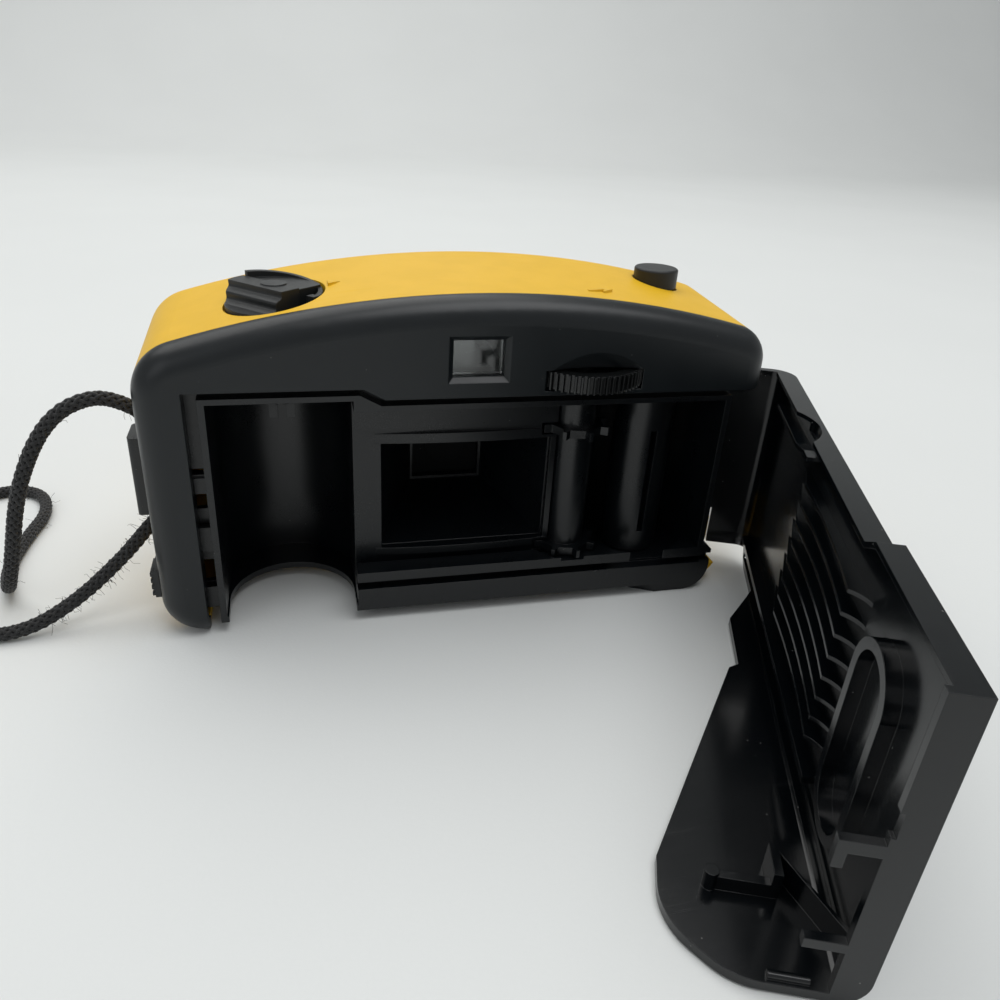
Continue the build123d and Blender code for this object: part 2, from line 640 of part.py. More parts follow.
# Front shell: the yellow half with the top, the front and the base
window_low = 19.5
window_high = 46.5
window_width_front = 18.0
window_height_front = 12.6
knob_gap = 0.4
knob_floor = knob_base - 0.4
button_hole = button_radius + 0.25
with BuildPart() as front_shell:
    add(outer_form)
    add(inner_form, mode=Mode.SUBTRACT)
    # pocket walls for the rewind knob and the release button
    rod(cassette_x, cassette_y, (knob_floor - 1.6, knob_base + 1.3), knob_radius + knob_gap + 1.4)
    rod(button_x, button_y, (button_under - 2, button_under + 1), button_hole + 1.3)
    add(outer_form, mode=Mode.INTERSECT)
    split(bisect_by=Plane.XZ.offset(-seam_y - 0.15), keep=Keep.BOTTOM)
    rod_along_y(gate_x, (body_front - wall, boss_front), gate_z, boss_radius)
    rod(cassette_x, cassette_y, (knob_floor, knob_base + 17), knob_radius + knob_gap, mode=Mode.SUBTRACT)
    rod(cassette_x, cassette_y, (knob_floor - 3, knob_floor + 1), fork_shaft_radius + running_gap,
        mode=Mode.SUBTRACT)
    rod(button_x, button_y, (button_under - 6, button_top + 10), button_hole, mode=Mode.SUBTRACT)
    turned_about_y([(0, body_front - wall - 3), (barrel_radius + 0.4, body_front - wall - 3),
                    (barrel_radius + 0.4, boss_front - 2.2), (boss_radius - 2.6, boss_front + 0.1), (0, boss_front + 0.1)],
                   mode=Mode.SUBTRACT)
    block((eye_x - window_width_front / 2, eye_x + window_width_front / 2), (body_front - wall - 1, body_front + 1),
          (eye_z - window_height_front / 2, eye_z + window_height_front / 2), mode=Mode.SUBTRACT)
    # the door's side, flange and the frame's foot come through here
    block((half_width - wall - 1, half_width + 1), (seam_y - 1, hinge_y + 3.6), (ear_low - foot_gap, ear_high + 0.2),
          mode=Mode.SUBTRACT)
    block((half_width - wall - 1, half_width + 1), (seam_y - 1, side_front_low + 1.1), (side_low - 0.4, ear_low),
          mode=Mode.SUBTRACT)
    extrude(flange_face(-1, part_gap + 0.15), amount=wall + 2, mode=Mode.SUBTRACT)
    block((foot_low - 12, foot_right + part_gap), (seam_y - 1, foot_front + part_gap), (-1, shelf_top + part_gap),
          mode=Mode.SUBTRACT)
    # slot for the latch's tab, and the strap's window
    block((-half_width - 1, -half_width + wall + 1), (seam_y + 0.4, seam_y + 3.6), (3.8, 13.4), mode=Mode.SUBTRACT)
    block((-half_width - 1, -half_width + wall + 1), (lug_y - 4.2, lug_y + 4.2), (window_low, window_high),
          mode=Mode.SUBTRACT)
    # raised marks beside the button and the knob
    prism_xy([(24.0, -11.8), (27.5, -10.9), (27.5, -10.0), (24.0, -10.9)], (eye_z + 2, top_z(26, -11) + 0.35))
    prism_xy([(27.2, -11.9), (29.6, -10.2), (27.0, -9.0)], (eye_z + 2, top_z(28, -10.5) + 0.35))
    prism_xy([(-26.6, -4.4), (-24.2, -2.6), (-26.6, -1.4)], (eye_z + 2, top_z(-25.4, -3) + 0.3))
front_shell.part.label = "front_shell"


def bar(start, end, width, z, mode=Mode.ADD):
    """A flat link with round ends between two points of the XY plane."""
    run = Vector(*end) - Vector(*start)
    middle = (Vector(*end) + Vector(*start)) / 2
    turn = degrees(atan2(run.Y, run.X))
    with BuildSketch(Plane.XY.offset(z[0])) as outline:
        with Locations((middle.X, middle.Y)):
            SlotCenterToCenter(run.length, width, rotation=turn)
    extrude(outline.sketch, amount=z[1] - z[0], mode=mode)


def bar_xz(start, end, width, y, mode=Mode.ADD):
    """A flat link with round ends between two points of the XZ plane."""
    run = Vector(*end) - Vector(*start)
    middle = (Vector(*end) + Vector(*start)) / 2
    turn = degrees(atan2(run.Y, run.X))
    with BuildSketch(Plane.XZ.offset(-y[0])) as outline:
        with Locations((middle.X, middle.Y)):
            SlotCenterToCenter(run.length, width, rotation=turn)
    extrude(outline.sketch, amount=y[0] - y[1], mode=mode)


# Latch slider and its spring
latch_left = -57.0
latch_right = frame_left - 0.5
latch_rear = shelf_y + 0.3
latch_front = latch_rear + latch_thick
catch_left = door_left_edge - 0.75
spring_x = -56.2
spring_y = -11.8
spring_low = 16.0
spring_high = 24.0
with BuildPart() as door_latch:
    block((latch_left, latch_right), (latch_rear, latch_front), (tab_bottom + 0.6, slot_high + 3.3))
    block((catch_left, latch_right + 1), (latch_rear - 1, latch_front + 1), (26.8, 33.0), mode=Mode.SUBTRACT)
    block((catch_left, latch_right + 1), (latch_rear - 1, latch_front + 1), (9.9, 15.1), mode=Mode.SUBTRACT)
    block((spring_x - 1.2, spring_x + 1.6), (latch_front - 0.1, spring_y + 1.6), (spring_high, spring_high + 1.5))
    block((-half_width - 0.5, latch_left + 0.5), (latch_rear, latch_front), (tab_bottom + 0.6, tab_bottom + 5.8))
    block((-half_width - 1.4, -half_width - 0.25), (-15.2, -9.2), (tab_bottom, tab_bottom + tab_height))
    for index in range(4):
        low = tab_bottom + 0.5 + 1.5 * index
        block((-half_width - 1.9, -half_width - 1.3), (-15.2, -9.2), (low, low + 0.8))
door_latch.part.label = "door_latch"

with BuildPart() as latch_spring:
    rod(spring_x, spring_y, (spring_low, spring_high), 1.5)
latch_spring.part.label = "latch_spring"

# Rewind knob with its fork and clip
disc_top = knob_base + knob_disc
grip_top = knob_base + knob_grip
knob_seat = disc_top + 1.2
grip_low = disc_top - 0.2
wall_outer = knob_radius - 0.1
wall_inner = wall_outer - 0.9
wall_start = 172
wall_middle = 95
wall_end = 18
wall_fall = 0.13
grip_lean = knob_foot - knob_brow
grip_rise = grip_top - grip_low
wave = [(step * grip_lean / 8 - knob_foot - knob_flute * cos(step * pi / 2), grip_low + step * grip_rise / 8)
        for step in range(9)]


def on_circle(radius, angle):
    """A point of the XY plane at a radius and an angle in degrees."""
    return (radius * cos(radians(angle)), radius * sin(radians(angle)))


with BuildPart() as knob_block:
    with BuildSketch(Plane.YZ.offset(-knob_radius)) as grip_outline:
        with BuildLine():
            Spline(*wave)
            Polyline(wave[-1], (0.8, grip_top), (0.8, grip_low), wave[0])
        make_face()
    extrude(grip_outline.sketch, amount=knob_radius + knob_end)
    rod(0, 0, (grip_low, grip_top + 1), knob_radius - 0.2, mode=Mode.INTERSECT)
with BuildPart() as knob_floor_form:
    rod(0, 0, (grip_low, grip_top - knob_floor_drop), wall_outer - 0.2)
    block((-knob_radius, knob_end - 0.8), (0.6, knob_radius), (grip_low, grip_top), mode=Mode.INTERSECT)
with BuildPart() as knob_rim_wall:
    with BuildSketch(Plane.XY.offset(grip_low)) as wall_outline:
        with BuildLine():
            ThreePointArc(on_circle(wall_outer, wall_start), on_circle(wall_outer, wall_middle),
                          on_circle(wall_outer, wall_end))
            Line(on_circle(wall_outer, wall_end), on_circle(wall_inner, wall_end))
            ThreePointArc(on_circle(wall_inner, wall_end), on_circle(wall_inner, wall_middle),
                          on_circle(wall_inner, wall_start))
            Line(on_circle(wall_inner, wall_start), on_circle(wall_outer, wall_start))
        make_face()
    extrude(wall_outline.sketch, amount=knob_base + knob_wall - grip_low)
    split(bisect_by=Plane(origin=(-knob_radius, 0, knob_base + knob_wall), z_dir=(wall_fall, 0, 1)),
          keep=Keep.BOTTOM)
with BuildPart() as knob_form:
    rod(0, 0, (knob_base, disc_top), knob_radius)
    chamfer(knob_form.edges().filter_by(GeomType.CIRCLE).sort_by(Axis.Z)[0], 0.3)
    add(knob_block.part)
    add(knob_floor_form.part)
    add(knob_rim_wall.part)
    # tab beside the wall's low end
    block((knob_radius - 2.0, knob_radius - 0.2), (1.2, 2.8), (disc_top - 0.1, grip_top - 1.2))
    # hub
    rod(0, 0, (grip_low, grip_top + 0.2), knob_hub)
    rod(0, 0, (knob_base - 1, knob_seat), fork_shaft_radius, mode=Mode.SUBTRACT)
with BuildPart() as rewind_knob:
    add(knob_form.part.moved(Location((cassette_x, cassette_y, 0), (0, 0, knob_turn))))
rewind_knob.part.label = "rewind_knob"

with BuildPart() as rewind_fork:
    rod(cassette_x, cassette_y, (45.0, knob_seat), fork_shaft_radius)
    rod(cassette_x, cassette_y, (46.5, 48.6), fork_shaft_radius + 1.4)
    block((cassette_x - 2.6, cassette_x + 2.6), (cassette_y - 0.8, cassette_y + 0.8), (41.6, 45.2))
    block((cassette_x - 0.8, cassette_x + 0.8), (cassette_y - 1, cassette_y + 1), (41, 44.4), mode=Mode.SUBTRACT)
rewind_fork.part.label = "rewind_fork"

with BuildPart() as fork_clip:
    rod(cassette_x, cassette_y, (frame_top_left + 0.3, frame_top_left + 1.1), fork_shaft_radius + 1.8)
    rod(cassette_x, cassette_y, (frame_top_left, frame_top_left + 2), fork_shaft_radius, mode=Mode.SUBTRACT)
    block((cassette_x - 0.9, cassette_x + 0.9), (cassette_y, cassette_y + 6), (frame_top_left, frame_top_left + 2),
          mode=Mode.SUBTRACT)
fork_clip.part.label = "fork_clip"

# Thumb wheel, sprocket shaft and take-up spool
with BuildPart() as thumb_wheel:
    prism_xy(toothed_outline(sprocket_x, sprocket_y, wheel_teeth, wheel_pitch - 1.1 * gear_module, wheel_radius,
                             0.5, 0.28, gear_angle), (wheel_bottom, wheel_top))
    rod(sprocket_x, sprocket_y, (wheel_top - 1.0, wheel_top + 1), wheel_radius - 3.0, mode=Mode.SUBTRACT)
    rod(sprocket_x, sprocket_y, (wheel_bottom, wheel_top), 3.6)
    rod(sprocket_x, sprocket_y, (wheel_bottom - 1, wheel_top + 1), journal_radius + running_gap,
        mode=Mode.SUBTRACT)
thumb_wheel.part.label = "thumb_wheel"

with BuildPart() as sprocket_shaft:
    rod(sprocket_x, sprocket_y, (film_bottom + 0.3, ledge_bottom - 0.3), shaft_radius)
    rod(sprocket_x, sprocket_y, (film_bottom - 2.0, 59.0), journal_radius)
    for row in (lower_row, upper_row):
        prism_xy(toothed_outline(sprocket_x, sprocket_y, sprocket_teeth, sprocket_pitch_radius - 0.15,
                                 sprocket_pitch_radius + tooth_height, 0.3, 0.14, 10.0), (row - 0.9, row + 0.9))
sprocket_shaft.part.label = "sprocket_shaft"

with BuildPart() as take_up_spool:
    rod(spool_x, spool_y, (film_bottom + 0.4, ledge_bottom - 0.4), spool_radius)
    rod(spool_x, spool_y, (film_bottom - 2.0, film_bottom + 1), journal_radius)
    rod(spool_x, spool_y, (ledge_bottom - 1, wheel_bottom + 0.5 + gear_thick), 2.0)
    rod(spool_x, spool_y, (wheel_bottom, 57.2), 1.4)
    block((spool_x - 0.7, spool_x + 0.7), (spool_y - 7, spool_y - 3), (14.0, 39.0), mode=Mode.SUBTRACT)
    block((spool_x - 0.7, spool_x + 0.7), (spool_y + 3, spool_y + 7), (14.0, 39.0), mode=Mode.SUBTRACT)
take_up_spool.part.label = "take_up_spool"

with BuildPart() as spool_gear:
    prism_xy(toothed_outline(spool_x, spool_y, spool_teeth, spool_pitch - 1.1 * gear_module,
                             spool_pitch + 0.8 * gear_module, 0.5, 0.28, gear_angle + 180 + 180 / spool_teeth),
             (wheel_bottom + 0.5, wheel_bottom + 0.5 + gear_thick))
    rod(spool_x, spool_y, (wheel_bottom, wheel_bottom + 5), 2.0, mode=Mode.SUBTRACT)
spool_gear.part.label = "spool_gear"

# Bridge over the gears, with the posts of the levers
bridge_top = post_height + 1.3
lever_pivot = (20.0, 6.0)
release_x = 36.0
release_z = 59.3
ear_half = 1.7
with BuildPart() as gear_bridge:
    prism_xy([(sprocket_x - 2.6, -15.0), (sprocket_x + 2.6, -15.0), (44.0, -11.5), (53.5, -3.0), (53.5, 9.6),
              (12.3, 9.6), (12.3, 4.5)], (post_height, bridge_top))
    rod(sprocket_x, sprocket_y, (post_height - 1, bridge_top + 1), journal_radius + running_gap,
        mode=Mode.SUBTRACT)
    rod(spool_x, spool_y, (post_height - 1, bridge_top + 1), 1.4 + running_gap, mode=Mode.SUBTRACT)
    rod(lever_pivot[0], lever_pivot[1], (bridge_top, bridge_top + 2.2), 1.1)
    for side in (-1, 1):
        middle = button_y + side * (ear_half + 0.5)
        block((release_x - 1.8, release_x + 1.8), (middle - 0.5, middle + 0.5), (bridge_top, release_z + 1.8))
    rod_along_y(release_x, (button_y - 4, button_y + 4), release_z, 0.8 + running_gap, mode=Mode.SUBTRACT)
gear_bridge.part.label = "gear_bridge"

tip_angle = radians(104)
tip_reach = wheel_radius + 0.3 + 0.7
pawl_tip = (sprocket_x + tip_reach * cos(tip_angle), sprocket_y + tip_reach * sin(tip_angle))
with BuildPart() as wheel_pawl:
    rod(left_post[0], left_post[1], (52.0, 54.0), 2.5)
    bar(left_post, pawl_tip, 1.4, (52.0, 54.0))
    rod(left_post[0], left_post[1], (51, 55), 1.2 + running_gap, mode=Mode.SUBTRACT)
wheel_pawl.part.label = "wheel_pawl"

cam_low = bridge_top + 0.3
with BuildPart() as shutter_cam:
    rod(sprocket_x, sprocket_y, (cam_low, cam_low + 1.4), 2.2)
    rod(sprocket_x + 1.7, sprocket_y, (cam_low, cam_low + 1.4), 1.2)
    rod(sprocket_x, sprocket_y, (cam_low - 1, cam_low + 2), journal_radius, mode=Mode.SUBTRACT)
shutter_cam.part.label = "shutter_cam"

finger_x = 12.3
finger_y = 15.0
with BuildPart() as cocking_lever:
    bar(lever_pivot, (23.3, -8.0), 2.4, (cam_low, cam_low + 1.3))
    bar(lever_pivot, (finger_x, finger_y), 2.4, (cam_low, cam_low + 1.3))
    rod(lever_pivot[0], lever_pivot[1], (cam_low, cam_low + 1.3), 2.4)
    rod(lever_pivot[0], lever_pivot[1], (cam_low - 1, cam_low + 2), 1.1 + running_gap, mode=Mode.SUBTRACT)
    rod(finger_x, finger_y, (41.0, cam_low + 1), 0.8)
    block((finger_x - 0.4, finger_x + 0.4), (11.7, finger_y), (41.0, 42.2))
cocking_lever.part.label = "cocking_lever"

# Shutter release
with BuildPart() as shutter_button:
    rod(button_x, button_y, (button_under, button_top), button_radius)
    fillet(shutter_button.edges().filter_by(GeomType.CIRCLE).sort_by(Axis.Z)[-1], 0.5)
    rod(button_x, button_y, (release_z + 1.6, button_under + 0.1), 2.0)
    rod(button_x, button_y, (release_z + 0.9, release_z + 1.7), 0.7)
shutter_button.part.label = "shutter_button"

guide_top = 62.4
with BuildPart() as button_guide:
    block((button_x - 3.6, button_x + 3.6), (button_y - 3.6, button_y + 3.6), (bridge_top, guide_top))
    block((button_x - 5, button_x + 5), (button_y - 1.9, button_y + 1.9), (bridge_top - 1, 60.9),
          mode=Mode.SUBTRACT)
    rod(button_x, button_y, (bridge_top, guide_top + 1), 2.0 + running_gap, mode=Mode.SUBTRACT)
button_guide.part.label = "button_guide"

with BuildPart() as button_spring:
    rod(button_x, button_y, (guide_top, button_under), 3.2)
    rod(button_x, button_y, (guide_top - 1, button_under + 1), 2.4, mode=Mode.SUBTRACT)
button_spring.part.label = "button_spring"

with BuildPart() as release_lever:
    block((30.0, button_x + 1.6), (button_y - 1.2, button_y + 1.2), (release_z - 0.6, release_z + 0.7))
    rod_along_y(release_x, (button_y - ear_half + 0.2, button_y + ear_half - 0.2), release_z, 1.5)
    rod_along_y(release_x, (button_y - ear_half - 1.0, button_y + ear_half + 1.0), release_z, 0.8)
release_lever.part.label = "release_lever"

# Shutter and lens
blade_x = 8.5
blade_z = 34.5
plate_rear = lens_board_y + tunnel_wall + 1.1
plate_face = plate_rear + 1.0
with BuildPart() as shutter_plate:
    block((gate_x - 17, gate_x + 17), (plate_rear, plate_face), (gate_z - 14, gate_z + 14))
    for side in (-1, 1):
        for level in (-1, 1):
            rod_along_y(gate_x + side * 14.5, (lens_board_y + tunnel_wall, plate_rear + 0.1), gate_z + level * 11.5,
                        2.2)
            rod_along_y(gate_x + side * 14.5, (lens_board_y, plate_face + 1), gate_z + level * 11.5, 0.9,
                        mode=Mode.SUBTRACT)
    rod_along_y(gate_x, (plate_rear - 1, plate_face + 1), gate_z, 3.0, mode=Mode.SUBTRACT)
    rod_along_y(blade_x, (plate_rear - 1, plate_face + 1), blade_z, 0.8, mode=Mode.SUBTRACT)
shutter_plate.part.label = "shutter_plate"

with BuildPart() as blade_pin:
    rod_along_y(blade_x, (plate_rear - 0.95, plate_face), blade_z, 0.8)
blade_pin.part.label = "blade_pin"

blade_y = (plate_rear - 0.75, plate_rear - 0.35)
with BuildPart() as shutter_blade:
    rod_along_y(gate_x, blade_y, gate_z, 4.6)
    bar_xz((blade_x, blade_z), (gate_x + 1.5, gate_z + 1.5), 3.6, blade_y)
    bar_xz((blade_x, blade_z), (blade_x + 1.0, 42.0), 2.0, blade_y)
    rod_along_y(blade_x, (blade_y[0] - 1, blade_y[1] + 1), blade_z, 0.8 + running_gap, mode=Mode.SUBTRACT)
shutter_blade.part.label = "shutter_blade"

with BuildPart() as frame_screws:
    for side in (-1, 1):
        for level in (-1, 1):
            rod_along_y(gate_x + side * 14.5, (lens_board_y - 3.6, plate_face + 0.5), gate_z + level * 11.5, 0.9)
            rod_along_y(gate_x + side * 14.5, (plate_face, plate_face + 1.1), gate_z + level * 11.5, 1.8)
frame_screws.part.label = "frame_screws"

lens_seat = plate_face + 5.7
with BuildPart() as lens_barrel:
    turned_about_y([(5.0, plate_face), (barrel_radius, plate_face), (barrel_radius, boss_front - 0.9),
                    (12.2, boss_front - 0.9), (12.2, lens_seat + 2.6), (lens_radius, lens_seat + 2.6),
                    (lens_radius, lens_seat), (7.2, lens_seat), (4.2, plate_face + 2.2), (5.0, plate_face + 2.2)])
lens_barrel.part.label = "lens_barrel"

with BuildPart() as rear_lens:
    rod_along_y(gate_x, (plate_face + 0.2, plate_face + 2.2), gate_z, 5.0)
rear_lens.part.label = "rear_lens"

lens_edge = 1.8
lens_bulge = 1.6
lens_curve = (lens_radius ** 2 + lens_bulge ** 2) / (2 * lens_bulge)
mid_drop = lens_curve - sqrt(lens_curve ** 2 - (lens_radius / 2) ** 2)
with BuildPart() as front_lens:
    with BuildSketch(Plane(origin=(gate_x, 0, gate_z), x_dir=(1, 0, 0), z_dir=(0, 0, 1))) as lens_outline:
        with BuildLine():
            Polyline((0, lens_seat + lens_edge + lens_bulge), (0, lens_seat), (lens_radius, lens_seat),
                     (lens_radius, lens_seat + lens_edge))
            ThreePointArc((lens_radius, lens_seat + lens_edge),
                          (lens_radius / 2, lens_seat + lens_edge + lens_bulge - mid_drop),
                          (0, lens_seat + lens_edge + lens_bulge))
        make_face()
    revolve(lens_outline.sketch, axis=Axis((gate_x, 0, gate_z), (0, 1, 0)), revolution_arc=360)
front_lens.part.label = "front_lens"

with BuildPart() as lens_ring:
    turned_about_y([(lens_radius - 0.6, lens_seat + 2.9), (lens_radius - 0.6, lens_seat + 4.2), (12.2, lens_seat + 4.2),
                    (12.2, lens_seat + 2.6), (lens_radius + 0.4, lens_seat + 2.6)])
lens_ring.part.label = "lens_ring"

# Viewfinder
with BuildPart() as finder_housing:
    block((eye_x - 8.5, eye_x + 8.5), (body_rear + wall + 0.4, body_front - wall - 0.6), (eye_z - 5.4, eye_z + 5.6))
    block((eye_x - 8.5 + finder_wall, eye_x + 8.5 - finder_wall), (shelf_y, body_front),
          (eye_z - 5.4 + finder_wall, eye_z + 5.6 - finder_wall), mode=Mode.SUBTRACT)
    block((eye_x - eye_width / 2, eye_x + eye_width / 2), (body_rear, 0),
          (eye_z - eye_height / 2, eye_z + eye_height / 2), mode=Mode.SUBTRACT)
    for x in (eye_x - 6.5, eye_x + 3.5):
        for y in (-8.0, 4.0):
            block((x, x + 3), (y, y + 3), (frame_top_right, eye_z - 5.2))
finder_housing.part.label = "finder_housing"

with BuildPart() as eyepiece_lens:
    block((eye_x - eye_width / 2 + 0.03, eye_x + eye_width / 2 - 0.03), (body_rear + wall + 0.6, shelf_y - 1.0),
          (eye_z - eye_height / 2 + 0.03, eye_z + eye_height / 2 - 0.03))
eyepiece_lens.part.label = "eyepiece_lens"

with BuildPart() as finder_window:
    block((eye_x - window_width_front / 2 + 0.1, eye_x + window_width_front / 2 - 0.1),
          (body_front - wall + 0.3, body_front - 0.3),
          (eye_z - window_height_front / 2 + 0.1, eye_z + window_height_front / 2 - 0.1))
finder_window.part.label = "finder_window"

# Strap lug and cord
cord_x = -half_width + 1.15
lug_outer = -half_width - lug_reach
with BuildPart() as strap_lug:
    block((lug_outer, lug_outer + 1.8), (lug_y - 4.0, lug_y + 4.0), (lug_bottom, lug_top))
    fillet(strap_lug.edges().filter_by(Axis.Z).group_by(Axis.X)[0], 1.0)
    for side in (-1, 1):
        inner = lug_y + side * 2.2
        outer = lug_y + side * 4.0
        block((lug_outer + 1.5, cord_x + 3), (min(inner, outer), max(inner, outer)), (lug_bottom, lug_top))
    block((cord_x + 2.05, cord_x + 3.4), (lug_y - 4.2, lug_y + 4.2), (window_low - 0.7, window_high + 0.5))
strap_lug.part.label = "strap_lug"

cord_low = lug_bottom - 0.3
cord_high = lug_top + 0.2
with BuildPart() as lug_cord:
    rod(cord_x, lug_y, (cord_low, cord_high), cord_radius)
lug_cord.part.label = "lug_cord"

cord_points = [
    (cord_x, lug_y, cord_high),
    (cord_x, lug_y, cord_high + 2.0),
    (-64.0, -8.7, 46.2),
    (-70.5, -9.3, 48.9),
    (-79.0, -10.2, 44.6),
    (-86.0, -10.6, 31.5),
    (-90.5, -9.0, 14.5),
    (-95.0, -2.5, 2.6),
    (-98.5, 9.5, 1.5),
    (-98.0, 23.5, 1.5),
    (-96.0, 36.5, 1.5),
    (-99.5, 47.5, 1.5),
    (-108.0, 51.0, 1.5),
    (-115.5, 45.0, 1.5),
    (-117.5, 32.0, 1.5),
    (-115.5, 17.5, 1.5),
    (-115.0, 3.5, 1.5),
    (-109.5, -8.5, 1.5),
    (-100.0, -15.5, 1.5),
    (-89.0, -16.0, 1.7),
    (-79.5, -11.9, 5.6),
    (-69.6, -9.2, 14.0),
    (-63.9, -8.6, 20.7),
    (cord_x, lug_y, cord_low - 1.6),
    (cord_x, lug_y, cord_low),
]


def bend_radius(before, corner, after):
    """Radius of the arc that joins two runs and uses 0.45 of the shorter one."""
    first = Vector(*corner) - Vector(*before)
    second = Vector(*after) - Vector(*corner)
    half_turn = radians(first.get_angle(second)) / 2
    return 0.45 * min(first.length, second.length) / tan(half_turn)


cord_radii = [bend_radius(*cord_points[index - 1:index + 2]) for index in range(1, len(cord_points) - 1)]
with BuildPart() as wrist_cord:
    with BuildLine() as route:
        cord_wire = FilletPolyline(*cord_points, radius=cord_radii)
    with BuildSketch(Plane(origin=cord_wire @ 0, z_dir=cord_wire % 0)):
        Circle(cord_radius)
    sweep()
wrist_cord.part.label = "wrist_cord"

pieces = (
    rear_shell, film_frame, back_door, hinge_pin, front_shell, door_latch, latch_spring, rewind_knob,
    rewind_fork, fork_clip, thumb_wheel, sprocket_shaft, take_up_spool, spool_gear, gear_bridge, wheel_pawl,
    shutter_cam, cocking_lever, shutter_button, button_guide, button_spring, release_lever, shutter_plate,
    blade_pin, shutter_blade, frame_screws, lens_barrel, rear_lens, front_lens, lens_ring, finder_housing,
    eyepiece_lens, finder_window, strap_lug, lug_cord, wrist_cord,
)
for piece in pieces:
    print(piece.part.label, len(piece.part.solids()), piece.part.is_valid, round(piece.part.volume))
    export_step(piece.part, "parts/" + piece.part.label + ".step")
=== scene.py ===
"""Dresses a compact film camera, shown with its back open, on a plain pale table."""

import math
import random

import bmesh
import bpy
from bpy.props import FloatProperty, FloatVectorProperty, IntProperty, PointerProperty
from bpy.types import Operator, Panel, PropertyGroup
from mathutils import Matrix, Vector


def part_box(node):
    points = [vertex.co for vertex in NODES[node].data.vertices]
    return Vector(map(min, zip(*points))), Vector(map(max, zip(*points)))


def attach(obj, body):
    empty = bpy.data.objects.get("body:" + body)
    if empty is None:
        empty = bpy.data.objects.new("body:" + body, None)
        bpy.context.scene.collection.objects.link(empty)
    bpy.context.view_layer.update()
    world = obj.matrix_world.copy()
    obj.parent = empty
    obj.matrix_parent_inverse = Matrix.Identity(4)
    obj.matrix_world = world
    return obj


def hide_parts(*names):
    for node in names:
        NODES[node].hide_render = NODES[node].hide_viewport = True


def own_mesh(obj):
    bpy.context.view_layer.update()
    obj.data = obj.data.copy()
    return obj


bl_info = {
    "name": "Compact film camera",
    "version": (1, 0, 0),
    "blender": (4, 5, 0),
    "location": "View3D > Sidebar > Film camera",
    "description": "Gives a compact film camera its finishes, its braided cord, its springs and a stage",
    "category": "Object",
}

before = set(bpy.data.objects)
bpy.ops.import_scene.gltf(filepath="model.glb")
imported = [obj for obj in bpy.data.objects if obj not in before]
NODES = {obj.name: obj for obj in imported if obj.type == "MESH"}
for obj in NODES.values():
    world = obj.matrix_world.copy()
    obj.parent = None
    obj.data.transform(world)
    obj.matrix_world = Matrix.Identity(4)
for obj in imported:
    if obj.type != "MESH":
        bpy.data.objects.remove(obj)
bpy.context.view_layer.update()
MM = 0.001

# The wrist cord's route, in metres, from the top of the strap lug round to its lower end
CORD_ROUTE = (
    (-0.06135, -0.0085, 0.0412), (-0.06135, -0.0085, 0.0432), (-0.064, -0.0087, 0.0462),
    (-0.0705, -0.0093, 0.0489), (-0.079, -0.0102, 0.0446), (-0.086, -0.0106, 0.0315),
    (-0.0905, -0.009, 0.0145), (-0.095, -0.0025, 0.0026), (-0.0985, 0.0095, 0.0015),
    (-0.098, 0.0235, 0.0015), (-0.096, 0.0365, 0.0015), (-0.0995, 0.0475, 0.0015),
    (-0.108, 0.051, 0.0015), (-0.1155, 0.045, 0.0015), (-0.1175, 0.032, 0.0015),
    (-0.1155, 0.0175, 0.0015), (-0.115, 0.0035, 0.0015), (-0.1095, -0.0085, 0.0015),
    (-0.1, -0.0155, 0.0015), (-0.089, -0.016, 0.0017), (-0.0795, -0.0119, 0.0056),
    (-0.0696, -0.0092, 0.014), (-0.0639, -0.0086, 0.0207), (-0.06135, -0.0085, 0.0228),
    (-0.06135, -0.0085, 0.0244),
)
ROUTE_ORDER = 3  # smoothness of the curve along the route
ROUTE_STEPS = 16  # points of that curve for each point of the route

BRAID_STEP = 0.00024  # metres between the points of a strand
STRAND_THICK = 0.25  # a strand's thickness, as a share of the cord's
STRAND_SUNK = 0.66  # how deep a strand's middle lies under the cord's surface, in strand thicknesses
WEAVE = 0.16  # how far a strand moves in and out, in strand thicknesses
CORE_SUNK = 2.2  # how much thinner than the cord its core is, in strand thicknesses
LUG_START = 0.002  # where in the braid's pitch the piece in the lug starts, in metres

FIBRE_THICK = 0.00007  # metres
FIBRE_ROOT = 0.42  # how far from the cord's middle a fibre starts, as a share of the cord's thickness
FIBRE_REACH = (0.5, 1.9)  # least and most millimetres that a fibre stands out
WORN_FROM = 0.86  # the cord is worn after this share of its length
ABOVE_TABLE = 0.0001  # metres that the fibres keep clear of the table

TURN_STEPS = 24  # points in one turn of a spring
STEEL = (0.56, 0.56, 0.55)

# The paper under and behind the camera, in metres
SHEET_HALF = 5.0  # half of its width
SHEET_NEAR = -4.0  # y of its near edge
SHEET_FLAT = 5.0  # length of its flat part
SHEET_BEND = 0.55  # radius of its bend
SHEET_RISE = 2.2  # height of its upright part

# The photograph's view: place in metres, and degrees that it is turned, lowered and tilted
VIEW_PLACE = (-0.0343, -0.1658, 0.105)
VIEW_ANGLES = (15.53, 27.18, 3.79)

# Inputs and output of a Mix node that mixes colours
MIX_SHARE, MIX_LOW, MIX_HIGH = 0, 6, 7
MIX_RESULT = 2


def colour(name, description, default):
    """A colour that a user can change in the panel."""
    return FloatVectorProperty(name=name, description=description, subtype="COLOR", size=3, min=0, max=1,
                               default=default)


def length(name, description, default):
    """A length that a user can change in the panel, in metres."""
    return FloatProperty(name=name, description=description, unit="LENGTH", subtype="DISTANCE", min=0,
                         precision=5, default=default)


def strength(name, description, default):
    """The strength of a light, which a user can change in the panel."""
    return FloatProperty(name=name, description=description, min=0, default=default)


